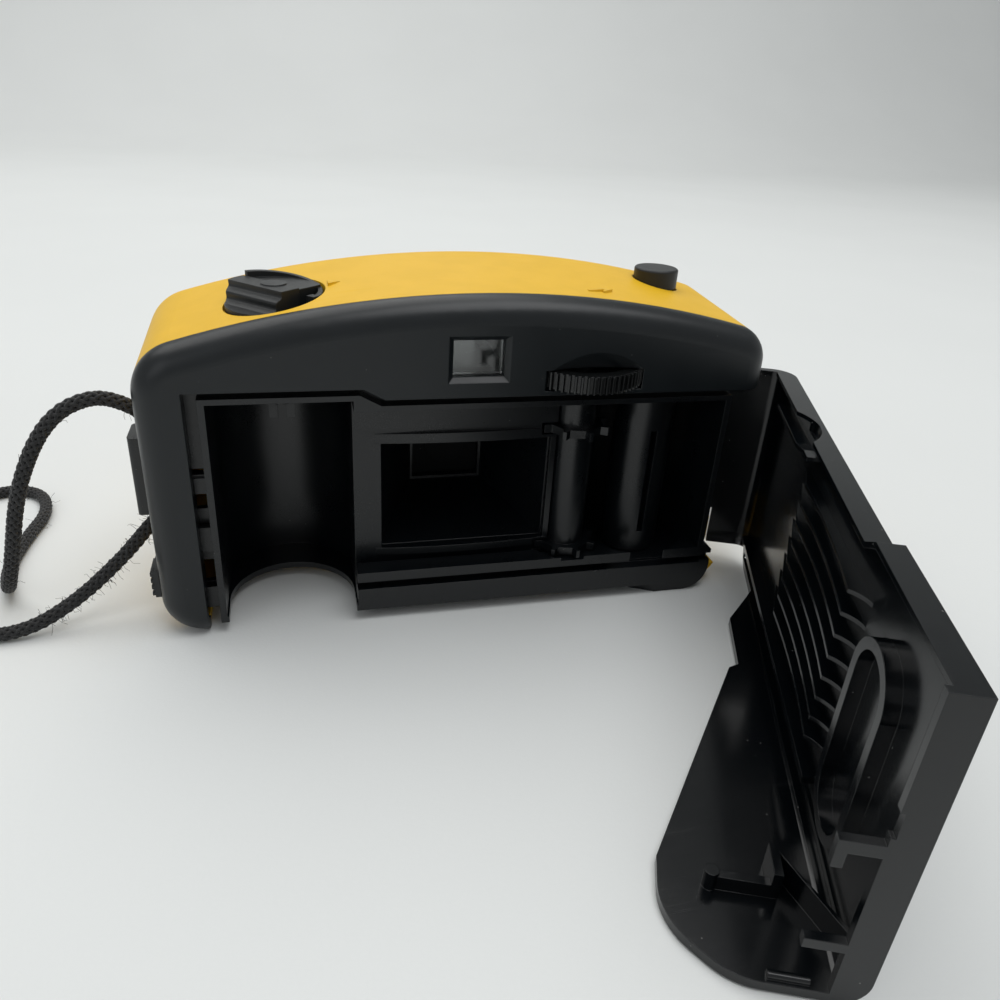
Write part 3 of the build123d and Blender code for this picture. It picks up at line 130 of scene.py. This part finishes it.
class CameraColours(PropertyGroup):
    """Colours of the camera's mouldings and of its cord."""

    yellow: colour("Front shell", "Warm yellow of the front shell", (0.78, 0.46, 0.010))
    charcoal: colour("Rear shell", "Matt charcoal of the rear shell", (0.0050, 0.0070, 0.0083))
    black: colour("Film side", "Black of the film side's mouldings", (0.0018, 0.0027, 0.0036))
    door: colour("Door", "Black of the glossy door", (0.0014, 0.0022, 0.0030))
    knob: colour("Knob and button", "Dark grey of the knob and the button", (0.011, 0.0125, 0.013))
    acetal: colour("Inner levers", "Off-white of the levers and gears inside", (0.55, 0.54, 0.50))
    cord: colour("Cord", "Black of the wrist cord's threads", (0.006, 0.0062, 0.0066))


class CordSizes(PropertyGroup):
    """Sizes of the braided wrist cord."""

    diameter: length("Diameter", "Thickness of the whole cord", 0.003)
    pitch: length("Braid pitch", "Length in which a strand goes once round the cord", 0.0105)
    strands: IntProperty(name="Strands", description="Strands that turn each way", default=6, min=4, max=12)
    fibres: IntProperty(name="Loose fibres", description="Fibres that stand out of the cord", default=190,
                        min=0)


class SpringSizes(PropertyGroup):
    """Sizes of the coil springs inside."""

    wire: length("Wire", "Thickness of the springs' wire", 0.00035)


class StageSettings(PropertyGroup):
    """The table, the lamps and the camera."""

    table: colour("Table", "Pale grey of the table and the backdrop", (0.72, 0.735, 0.725))
    lens: FloatProperty(name="Lens", description="Focal length of the view", unit="CAMERA", default=29.37,
                        min=10)
    key: strength("Key lamp", "Power of the large lamp behind the camera", 10.8)
    fill: strength("Fill lamp", "Power of the lamp on the viewer's side", 1.6)
    air: strength("Surroundings", "Strength of the even light from all sides", 0.42)


class Wire:
    """A node's output inside a finish, ready for use in sums."""

    def __init__(self, finish, socket):
        self.finish = finish
        self.socket = socket

    def maths(self, operation, *values):
        """The output of a new Math node that takes these values."""
        return self.finish.node("ShaderNodeMath", {"operation": operation}, dict(enumerate(values)))

    def __add__(self, other):
        return self.maths("ADD", self, other)

    def __sub__(self, other):
        return self.maths("SUBTRACT", self, other)

    def __rsub__(self, other):
        return self.maths("SUBTRACT", other, self)

    def __mul__(self, other):
        return self.maths("MULTIPLY", self, other)

    def __gt__(self, other):
        return self.maths("GREATER_THAN", self, other)

    def __lt__(self, other):
        return self.maths("LESS_THAN", self, other)

    __radd__ = __add__
    __rmul__ = __mul__

    def between(self, low, high):
        """0 below low, 1 above high and a smooth ramp in between."""
        inputs = {"Value": self, "From Min": low, "From Max": high}
        return self.finish.node("ShaderNodeMapRange", {"interpolation_type": "SMOOTHSTEP"}, inputs)


class Finish:
    """A procedural material for one of the camera's surfaces."""

    def __init__(self, name):
        self.material = bpy.data.materials.new(name)
        self.material.use_nodes = True
        self.tree = self.material.node_tree
        self.tree.nodes.clear()

    def node(self, kind, settings=None, inputs=None, output=0):
        """Adds a node, sets it up, and gives one of its outputs."""
        made = self.tree.nodes.new(kind)
        for name, value in (settings or {}).items():
            setattr(made, name, value)
        for name, value in (inputs or {}).items():
            if isinstance(value, Wire):
                self.tree.links.new(value.socket, made.inputs[name])
            else:
                made.inputs[name].default_value = value
        return Wire(self, made.outputs[output]) if len(made.outputs) else None

    def place(self, turn=(0, 0, 0), stretch=(1, 1, 1)):
        """Object coordinates in millimetres, turned and stretched for a pattern."""
        inputs = {
            "Vector": self.node("ShaderNodeTexCoord", output="Object"),
            "Rotation": turn,
            "Scale": tuple(1000 * s for s in stretch),
        }
        return self.node("ShaderNodeMapping", {"vector_type": "POINT"}, inputs)

    def noise(self, place, size, detail=2.0, roughness=0.5):
        """Soft noise whose lumps are about that many millimetres across."""
        inputs = {"Vector": place, "Scale": 1.0 / size, "Detail": detail, "Roughness": roughness}
        return self.node("ShaderNodeTexNoise", None, inputs, "Fac")

    def specks(self, place, size, spot, patch, bare):
        """1 in specks of dust and 0 around them.

        Each cell of about size millimetres has one speck, as wide as spot says. Specks show only where soft
        noise, with lumps of about patch millimetres, is over bare.
        """
        cells = self.node("ShaderNodeTexVoronoi", None, {"Vector": place, "Scale": 1.0 / size}, "Distance")
        return (cells < spot) * (self.noise(place, patch) > bare)

    def mix(self, share, low, high):
        """Colour low where share is 0 and high where it is 1."""
        low, high = [c if isinstance(c, Wire) else (*c, 1.0) for c in (low, high)]
        inputs = {MIX_SHARE: share, MIX_LOW: low, MIX_HIGH: high}
        return self.node("ShaderNodeMix", {"data_type": "RGBA"}, inputs, MIX_RESULT)

    def rounding(self, radius):
        """Normals that round the sharp edges by that many millimetres."""
        return self.node("ShaderNodeBevel", {"samples": 4}, {"Radius": radius * MM})

    def edges(self, rounded):
        """0 on flat surfaces and up to 1 along the edges that the rounded normals soften."""
        true = self.node("ShaderNodeNewGeometry", output="Normal")
        dot = self.node("ShaderNodeVectorMath", {"operation": "DOT_PRODUCT"}, {0: rounded, 1: true}, "Value")
        return (1.0 - dot).between(0.02, 0.25)

    def bump(self, height, depth, normal=None):
        """Normals of a relief that many millimetres deep."""
        inputs = {"Height": height, "Distance": depth * MM}
        if normal is not None:
            inputs["Normal"] = normal
        return self.node("ShaderNodeBump", None, inputs)

    def shade(self, inputs):
        """Ends the finish in one shader."""
        shader = self.node("ShaderNodeBsdfPrincipled", None, inputs)
        self.node("ShaderNodeOutputMaterial", None, {"Surface": shader})
        return self.material


def scaled(tint, factor):
    """A colour made lighter or darker."""
    return tuple(min(1.0, c * factor) for c in tint)


def moulding(name, tint, gloss, grain=0.25, relief=0.006, edge=0.12, worn=1.6, dust=0.35, mottle=0.12,
             dusty=(0.2, 0.2, 0.19), ior=1.5):
    """Injection-moulded plastic with a fine grain, handling marks, dust and softened, slightly worn edges.

    The grain's size, the relief's depth and the edges' radius are in millimetres, worn is how many times
    lighter the worn edges are, and dust and mottle are how strongly the specks and the clouds show.
    """
    finish = Finish(name)
    place = finish.place()
    rounded = finish.rounding(edge)
    rim = finish.edges(rounded)
    clouds = finish.noise(place, 9.0, 3.0)
    pebble = finish.noise(place, grain, 2.0, 0.6)
    rub_lines = finish.place((0.3, 0.9, 0.5), (0.06, 0.9, 0.35))
    rubs = finish.noise(rub_lines, 1.3, 3.0, 0.65).between(0.6, 0.72)
    hair_lines = finish.place((0.7, 0.2, 1.1), (0.02, 1.6, 0.6))
    hairlines = finish.noise(hair_lines, 0.35, 1.0).between(0.69, 0.74)
    specks = finish.specks(place, 2.6, 0.045, 14.0, 0.5)
    # Clouds show pale on dark plastic and dark on pale plastic
    cloudy = scaled(tint, 1.9 if max(tint) < 0.1 else 0.86)
    base = finish.mix(clouds.between(0.35, 0.7) * mottle, tint, cloudy)
    base = finish.mix(rim * 0.35 + hairlines * 0.10, base, scaled(tint, worn))
    base = finish.mix(specks * dust, base, dusty)
    rough = gloss + (clouds - 0.5) * 0.10 + (pebble - 0.5) * 0.08 + rubs * 0.07 + specks * 0.3 - rim * 0.04
    height = pebble + hairlines * -0.6 + finish.noise(place, 3.2, 1.0) * 0.5
    return finish.shade({
        "Base Color": base,
        "Roughness": rough,
        "Normal": finish.bump(height, relief, rounded),
        "IOR": ior,
    })


def glassy(name, tint, coat=0.0):
    """Clear moulded glass or acrylic with faint dust and wipe marks on it."""
    finish = Finish(name)
    smears = finish.noise(finish.place((0.2, 0.4, 0.3), (0.3, 1.0, 1.0)), 2.2, 3.0)
    specks = finish.specks(finish.place(), 1.1, 0.05, 5.0, 0.52)
    return finish.shade({
        "Base Color": finish.mix(specks * 0.5, tint, (0.55, 0.55, 0.53)),
        "Roughness": smears.between(0.45, 0.8) * 0.05 + specks * 0.3,
        "Normal": finish.bump(smears, 0.0006),
        "Transmission Weight": 1.0,
        "IOR": 1.5,
        "Coat Weight": coat,
        "Coat Roughness": 0.03,
        "Coat Tint": (0.55, 0.65, 1.0, 1.0),
    })


def metal(name, tint, gloss):
    """Drawn or pressed metal with brush lines, stains and bright edges."""
    finish = Finish(name)
    rounded = finish.rounding(0.06)
    rim = finish.edges(rounded)
    lines = finish.noise(finish.place(stretch=(0.05, 1.0, 1.0)), 0.12, 2.0)
    stains = finish.noise(finish.place(), 2.5, 4.0).between(0.45, 0.75)
    base = finish.mix(stains * 0.5 + lines * 0.2, tint, scaled(tint, 0.6))
    return finish.shade({
        "Base Color": finish.mix(rim * 0.5, base, scaled(tint, 1.25)),
        "Metallic": 1.0,
        "Roughness": gloss + (lines - 0.5) * 0.15 + stains * 0.12,
        "Normal": finish.bump(lines, 0.002, rounded),
    })


def thread(name, tint):
    """Twisted nylon thread: fine fibres along each strand, a little fluff and paler where it rubs."""
    finish = Finish(name)
    place = finish.place()
    fibre = finish.noise(finish.place((0.6, 0.4, 0.2), (1.0, 1.0, 0.3)), 0.11, 3.0, 0.7)
    lumps = finish.noise(place, 1.4, 2.0)
    fluff = finish.noise(place, 6.0, 2.0).between(0.52, 0.7)
    base = finish.mix(fibre.between(0.35, 0.75), scaled(tint, 0.5), scaled(tint, 2.4))
    base = finish.mix(fluff * 0.3, base, scaled(tint, 3.5))
    return finish.shade({
        "Base Color": base,
        "Roughness": 0.72 + (lumps - 0.5) * 0.2,
        "Normal": finish.bump(fibre + lumps * 0.5, 0.05),
        "Sheen Weight": 0.15,
        "Sheen Roughness": 0.5,
    })


def paper(name, tint):
    """Matt seamless paper with a faint tooth and very slight unevenness."""
    finish = Finish(name)
    place = finish.place()
    tooth = finish.noise(place, 0.7, 3.0)
    clouds = finish.noise(place, 130.0, 2.0)
    return finish.shade({
        "Base Color": finish.mix(clouds.between(0.3, 0.7) * 0.5 + tooth * 0.2, tint, scaled(tint, 0.965)),
        "Roughness": 0.62 + (clouds - 0.5) * 0.1,
        "Normal": finish.bump(tooth, 0.03),
        "Specular IOR Level": 0.35,
    })


def dress(finish, *names):
    """Gives CAD nodes a finish."""
    for name in names:
        for slot in NODES[name].material_slots:
            slot.material = finish


def put(name, data):
    """Makes an object of a mesh, a curve, a lamp or a camera and puts it into the scene."""
    made = bpy.data.objects.new(name, data)
    bpy.context.scene.collection.objects.link(made)
    return made


def piece(name, mesh, finish, body, slot, *stands_for, crease):
    """Makes a finished object of a mesh, smooth up to the crease angle, and puts it on its body."""
    mesh.name = name
    mesh.materials.clear()
    mesh.materials.append(finish)
    mesh.shade_smooth()
    mesh.set_sharp_from_angle(angle=math.radians(crease))
    made = put(name, mesh)
    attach(made, body)
    if stands_for:
        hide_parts(*stands_for)
    return made


def curve_mesh(lines, thickness, sides=4, spline_type="POLY"):
    """One mesh of round threads that follow lines of points."""
    curve = bpy.data.curves.new("threads", "CURVE")
    curve.dimensions = "3D"
    curve.bevel_depth = thickness / 2
    curve.bevel_resolution = sides // 2 - 2
    curve.use_fill_caps = thickness > 0
    curve.resolution_u = ROUTE_STEPS
    for points in lines:
        spline = curve.splines.new(spline_type)
        spline.points.add(len(points) - 1)
        for target, point in zip(spline.points, points):
            target.co = (*point, 1.0)
        if spline_type == "NURBS":
            spline.order_u = ROUTE_ORDER
            spline.use_endpoint_u = True
    holder = put("threads", curve)
    bpy.context.view_layer.update()
    mesh = bpy.data.meshes.new_from_object(holder.evaluated_get(bpy.context.evaluated_depsgraph_get()))
    bpy.data.objects.remove(holder)
    bpy.data.curves.remove(curve)
    return mesh


def smooth_line(points):
    """Points of a smooth curve along a route."""
    mesh = curve_mesh([points], 0.0, spline_type="NURBS")
    line = [v.co.copy() for v in mesh.vertices]
    bpy.data.meshes.remove(mesh)
    return line


def evenly(points, step):
    """Points a fixed distance apart along a line of points."""
    spaced = [points[0].copy()]
    left = step
    for before, after in zip(points, points[1:]):
        run = (after - before).length
        gone = 0.0
        while run - gone >= left:
            gone += left
            spaced.append(before.lerp(after, gone / run))
            left = step
        left -= run - gone
    if (spaced[-1] - points[-1]).length > step / 3:
        spaced.append(points[-1].copy())
    return spaced


def carried_frames(points):
    """Side and up directions along a line of points, carried along without twisting."""
    ahead = (points[1] - points[0]).normalized()
    side = ahead.orthogonal().normalized()
    frames = []
    for index, point in enumerate(points):
        after = points[min(index + 1, len(points) - 1)] - points[max(index - 1, 0)]
        after.normalize()
        side.rotate(ahead.rotation_difference(after))
        side = (side - after * side.dot(after)).normalized()
        ahead = after
        frames.append((point, side.copy(), ahead.cross(side)))
    return frames


def braid_lines(points, sizes, strand, start):
    """The strands of a plain braid round a line of points, as one line of points each."""
    reach = sizes.diameter / 2 - strand * STRAND_SUNK
    frames = carried_frames(points)
    gap = (points[1] - points[0]).length
    lines = []
    for way in (-1, 1):
        for number in range(sizes.strands):
            line = []
            for index, (point, side, up) in enumerate(frames):
                turned = math.tau * (start + index * gap) / sizes.pitch
                angle = way * turned + math.tau * number / sizes.strands
                out = reach + way * WEAVE * strand * math.cos(sizes.strands * turned)
                line.append(point + (side * math.cos(angle) + up * math.sin(angle)) * out)
            lines.append(line)
    return lines


def braid_mesh(points, sizes, core_sides, start=0.0):
    """A braid round a line of points and the core inside it, as one mesh."""
    strand = sizes.diameter * STRAND_THICK
    together = bmesh.new()
    for mesh in (curve_mesh(braid_lines(points, sizes, strand, start), strand, sides=6),
                 curve_mesh([points[::3]], sizes.diameter - CORE_SUNK * strand, core_sides)):
        together.from_mesh(mesh)
        bpy.data.meshes.remove(mesh)
    whole = bpy.data.meshes.new("braid")
    together.to_mesh(whole)
    together.free()
    return whole


def drift(seed, most):
    """A random step of up to that many millimetres each way."""
    return Vector([seed.uniform(-most, most) for _ in range(3)]) * MM


def loose_fibres(points, sizes):
    """Short bent lines that stand out of the cord, three in four of them where it is worn."""
    seed = random.Random(7)
    frames = carried_frames(points)
    worn = [n for n in range(len(frames)) if n > len(frames) * WORN_FROM]
    hairs = []
    for number in range(sizes.fibres):
        at = seed.choice(worn) if number % 4 else seed.randrange(len(frames))
        point, side, up = frames[at]
        angle = seed.uniform(0, math.tau)
        out = side * math.cos(angle) + up * math.sin(angle)
        reach = seed.uniform(*FIBRE_REACH) * MM
        root = point + out * sizes.diameter * FIBRE_ROOT
        tip = root + out * reach + drift(seed, 1)
        middle = root.lerp(tip, 0.55) + drift(seed, 0.5)
        for joint in (middle, tip):
            joint.z = max(joint.z, ABOVE_TABLE)
        hairs.append([root, root.lerp(middle, 0.5) + out * 0.0002, middle, tip])
    return hairs


def coil_line(low, high, wire, turns):
    """Points of an upright spring that fills a box and has its first and last turns closed."""
    middle = (low + high) / 2
    reach = (high.x - low.x - wire) / 2
    pitch = (high.z - low.z - 3 * wire) / (turns - 2)
    line = []
    for step in range(TURN_STEPS * turns + 1):
        turned = step / TURN_STEPS
        closed = min(turned, 1) + max(turned - turns + 1, 0)
        rise = wire * closed + pitch * min(max(turned - 1, 0), turns - 2)
        angle = math.tau * turned
        across = Vector((reach * math.cos(angle), reach * math.sin(angle)))
        line.append((middle.x + across.x, middle.y + across.y, low.z + wire / 2 + rise))
    return line


def of_kind(geometry, kind):
    """The vertices or the edges of what a bmesh operator made."""
    return [part for part in geometry if isinstance(part, kind)]


def pulled(sheet, edges, move):
    """Draws a sheet out of its edges, and gives the new edges."""
    grown = bmesh.ops.extrude_edge_only(sheet, edges=edges)["geom"]
    bmesh.ops.translate(sheet, vec=move, verts=of_kind(grown, bmesh.types.BMVert))
    return of_kind(grown, bmesh.types.BMEdge)


class LayStage(Operator):
    """Lays out the table, the backdrop, the lamps and the view"""

    bl_idname = "film_camera.stage"
    bl_label = "Stage"

    def execute(self, context):
        stage = context.scene.camera_stage
        self.lay_sheet(stage)
        self.hang_lamps(context, stage)
        self.set_view(context, stage)
        return {"FINISHED"}

    @staticmethod
    def lay_sheet(stage):
        """Lays paper that is flat under the camera, bends up behind it and rises as a backdrop."""
        sheet = bmesh.new()
        ends = [sheet.verts.new((x, SHEET_NEAR, 0)) for x in (-SHEET_HALF, SHEET_HALF)]
        edge = pulled(sheet, [sheet.edges.new(ends)], (0, SHEET_FLAT, 0))
        bend = bmesh.ops.spin(sheet, geom=edge, cent=(0, SHEET_NEAR + SHEET_FLAT, SHEET_BEND),
                              axis=(1, 0, 0), angle=math.radians(90), steps=24)
        pulled(sheet, of_kind(bend["geom_last"], bmesh.types.BMEdge), (0, 0, SHEET_RISE))
        mesh = bpy.data.meshes.new("table")
        sheet.to_mesh(mesh)
        sheet.free()
        mesh.shade_smooth()
        mesh.materials.append(paper("pale_paper", stage.table))
        table = put("table", mesh)

    @staticmethod
    def hang_lamps(context, stage):
        """Hangs three soft lamps and lights the surroundings evenly."""
        # Each lamp's name, power, place, the point it faces, width, height and colour
        lamps = (
            ("key_lamp", stage.key, (-0.3, 0.65, 1.25), (0.0, 0.0, 0.03), 1.7, 1.1, (1.0, 0.995, 0.98)),
            ("top_lamp", stage.key * 0.9, (0.35, -0.3, 1.5), (0.0, 0.05, 0.0), 1.1, 0.9, (0.98, 0.99, 1.0)),
            ("fill_lamp", stage.fill, (-1.0, -0.85, 0.75), (0.0, 0.0, 0.03), 0.8, 0.8, (0.95, 0.98, 1.0)),
        )
        for name, power, place, target, wide, high, tint in lamps:
            light = bpy.data.lights.new(name, "AREA")
            light.shape = "RECTANGLE"
            light.size, light.size_y = wide, high
            light.energy, light.color = power, tint
            lamp = put(name, light)
            lamp.location = place
            lamp.rotation_euler = (Vector(target) - Vector(place)).to_track_quat("-Z", "Y").to_euler()
        world = bpy.data.worlds.new("surroundings")
        world.use_nodes = True
        light = world.node_tree.nodes["Background"]
        light.inputs["Color"].default_value = (0.97, 0.985, 1.0, 1.0)
        light.inputs["Strength"].default_value = stage.air
        context.scene.world = world

    @staticmethod
    def set_view(context, stage):
        """Looks at the camera from where the photograph was taken."""
        view = bpy.data.cameras.new("view")
        view.sensor_width = 36.0
        view.lens = stage.lens
        view.clip_start, view.clip_end = 0.01, 20.0
        yaw, pitch, roll = (math.radians(angle) for angle in VIEW_ANGLES)
        ahead = Vector((math.sin(yaw) * math.cos(pitch), math.cos(yaw) * math.cos(pitch), -math.sin(pitch)))
        level = Vector((math.cos(yaw), -math.sin(yaw), 0.0))
        over = level.cross(ahead)
        right = level * math.cos(roll) + over * math.sin(roll)
        up = over * math.cos(roll) - level * math.sin(roll)
        turned = Matrix((right, up, -ahead)).transposed().to_4x4()
        camera = put("view", view)
        camera.matrix_world = Matrix.Translation(VIEW_PLACE) @ turned
        context.scene.camera = camera
        context.scene.view_settings.view_transform = "Standard"


class BraidCord(Operator):
    """Braids the wrist cord along its route, with loose fibres where it is worn"""

    bl_idname = "film_camera.cord"
    bl_label = "Wrist cord"

    def execute(self, context):
        sizes = context.scene.camera_cord
        fabric = thread("cord_thread", context.scene.camera_colours.cord)
        points = evenly(smooth_line(CORD_ROUTE), BRAID_STEP)
        mesh = braid_mesh(points, sizes, core_sides=6)
        cord = piece("braided_cord", mesh, fabric, "camera_body", "cord", "wrist_cord", crease=80)
        mesh = curve_mesh(loose_fibres(points, sizes), FIBRE_THICK)
        fuzz = piece("cord_fibres", mesh, fabric, "camera_body", "cord", crease=80)

        low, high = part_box("lug_cord")
        middle = (low + high) / 2
        count = int((high.z - low.z) / BRAID_STEP) + 1
        upright = [Vector((middle.x, middle.y, low.z + n * BRAID_STEP)) for n in range(count)]
        mesh = braid_mesh(upright, sizes, core_sides=4, start=LUG_START)
        inside = piece("lug_braid", mesh, fabric, "camera_body", "cord", "lug_cord", crease=80)

        return {"FINISHED"}


class WindSprings(Operator):
    """Winds the latch's and the shutter button's coil springs"""

    bl_idname = "film_camera.springs"
    bl_label = "Springs"

    def execute(self, context):
        steel = metal("spring_wire", STEEL, 0.24)
        wire = context.scene.camera_springs.wire
        # Each spring's name, CAD node, the joint that presses it, its turns and the joint's travel in metres
        springs = (
            ("latch_coil", "latch_spring", "latch_slide", 7, 0.003),
            ("button_coil", "button_spring", "button_press", 5, 0.0015),
        )
        for name, node, joint, turns, travel in springs:
            low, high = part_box(node)
            mesh = curve_mesh([coil_line(low, high, wire, turns)], wire, sides=8)
            coil = piece(name, mesh, steel, "camera_body", "steel", node, crease=60)
            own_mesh(coil)
        return {"FINISHED"}


class FinishBody(Operator):
    """Finishes the shells, the film side, the door and the parts inside"""

    bl_idname = "film_camera.body"
    bl_label = "Body finishes"

    def execute(self, context):
        colours = context.scene.camera_colours
        yellow = moulding("yellow_shell", colours.yellow, gloss=0.46, grain=0.35, relief=0.004, edge=0.25,
                          worn=1.12, dust=0.12, mottle=0.35, dusty=(0.5, 0.42, 0.2), ior=1.42)
        charcoal = moulding("matt_charcoal", colours.charcoal, gloss=0.34, grain=0.16, edge=0.30, worn=1.9,
                            dust=0.30, ior=1.43)
        black = moulding("film_side_black", colours.black, gloss=0.29, grain=0.22, relief=0.004, edge=0.14,
                         worn=2.6, dust=0.45)
        door = moulding("door_black", colours.door, gloss=0.17, grain=0.5, relief=0.002, edge=0.16, worn=3.0,
                        dust=0.60)
        dark = moulding("knob_grey", colours.knob, gloss=0.42, grain=0.2, edge=0.25, worn=2.4, dust=0.25,
                        ior=1.42)
        acetal = moulding("acetal", colours.acetal, gloss=0.40, grain=0.3, relief=0.004, edge=0.10, worn=1.05,
                          dust=0.1, mottle=0.3, dusty=(0.4, 0.4, 0.38))
        wheel = moulding("wheel_black", scaled(colours.knob, 0.3), gloss=0.30, grain=0.2, relief=0.004,
                         edge=0.16, worn=22.0, dust=0.3)
        # Shutter plate and blade: black, with painted shade, as their colour is darker than the other blacks
        # so the window in front of them looks shaded
        shutter = moulding("shutter_black_painted_shade", (0.0008, 0.0012, 0.0018), gloss=0.6, ior=1.25)
        dress(yellow, "front_shell")
        dress(charcoal, "rear_shell")
        dress(black, "film_frame", "sprocket_shaft", "take_up_spool", "finder_housing", "rewind_fork",
              "strap_lug", "door_latch", "lens_barrel")
        dress(door, "back_door")
        dress(wheel, "thumb_wheel")
        dress(dark, "rewind_knob", "shutter_button")
        dress(acetal, "wheel_pawl", "shutter_cam", "release_lever", "spool_gear", "gear_bridge",
              "button_guide")
        # The shutter plate and blade get the black with painted shade
        dress(shutter, "shutter_plate", "shutter_blade")
        dress(metal("blackened_steel", (0.05, 0.05, 0.052), 0.42), "cocking_lever", "lens_ring")
        dress(metal("steel", STEEL, 0.28), "hinge_pin", "fork_clip", "blade_pin", "frame_screws")
        dress(glassy("lens_glass", (0.96, 0.97, 1.0), coat=0.6), "rear_lens", "front_lens")
        dress(glassy("finder_glass", (0.86, 0.88, 0.88)), "eyepiece_lens", "finder_window")
        return {"FINISHED"}


class CameraPanel(Panel):
    """Lists the settings and the steps that dress the camera"""

    bl_idname = "VIEW3D_PT_film_camera"
    bl_label = "Film camera"
    bl_space_type = "VIEW_3D"
    bl_region_type = "UI"
    bl_category = "Film camera"

    def draw(self, context):
        for settings, group in GROUPS.items():
            box = self.layout.box()
            for name in group.__annotations__:
                box.prop(getattr(context.scene, settings), name)
        for step in STEPS:
            self.layout.operator(step.bl_idname)


GROUPS = {
    "camera_colours": CameraColours,
    "camera_cord": CordSizes,
    "camera_springs": SpringSizes,
    "camera_stage": StageSettings,
}
STEPS = (LayStage, BraidCord, WindSprings, FinishBody)


def register():
    """Makes the settings, steps and panel known."""
    for made in (*GROUPS.values(), *STEPS, CameraPanel):
        bpy.utils.register_class(made)
    for name, group in GROUPS.items():
        setattr(bpy.types.Scene, name, PointerProperty(type=group))


def unregister():
    """Takes the settings, steps and panel away again."""
    for name in GROUPS:
        delattr(bpy.types.Scene, name)
    for made in (CameraPanel, *reversed(STEPS), *reversed(GROUPS.values())):
        bpy.utils.unregister_class(made)


def main():
    """Makes the settings known and runs the steps that dress the camera."""
    register()
    for step in STEPS:
        area, name = step.bl_idname.split(".")
        getattr(getattr(bpy.ops, area), name)()


if __name__ == "__main__":
    main()
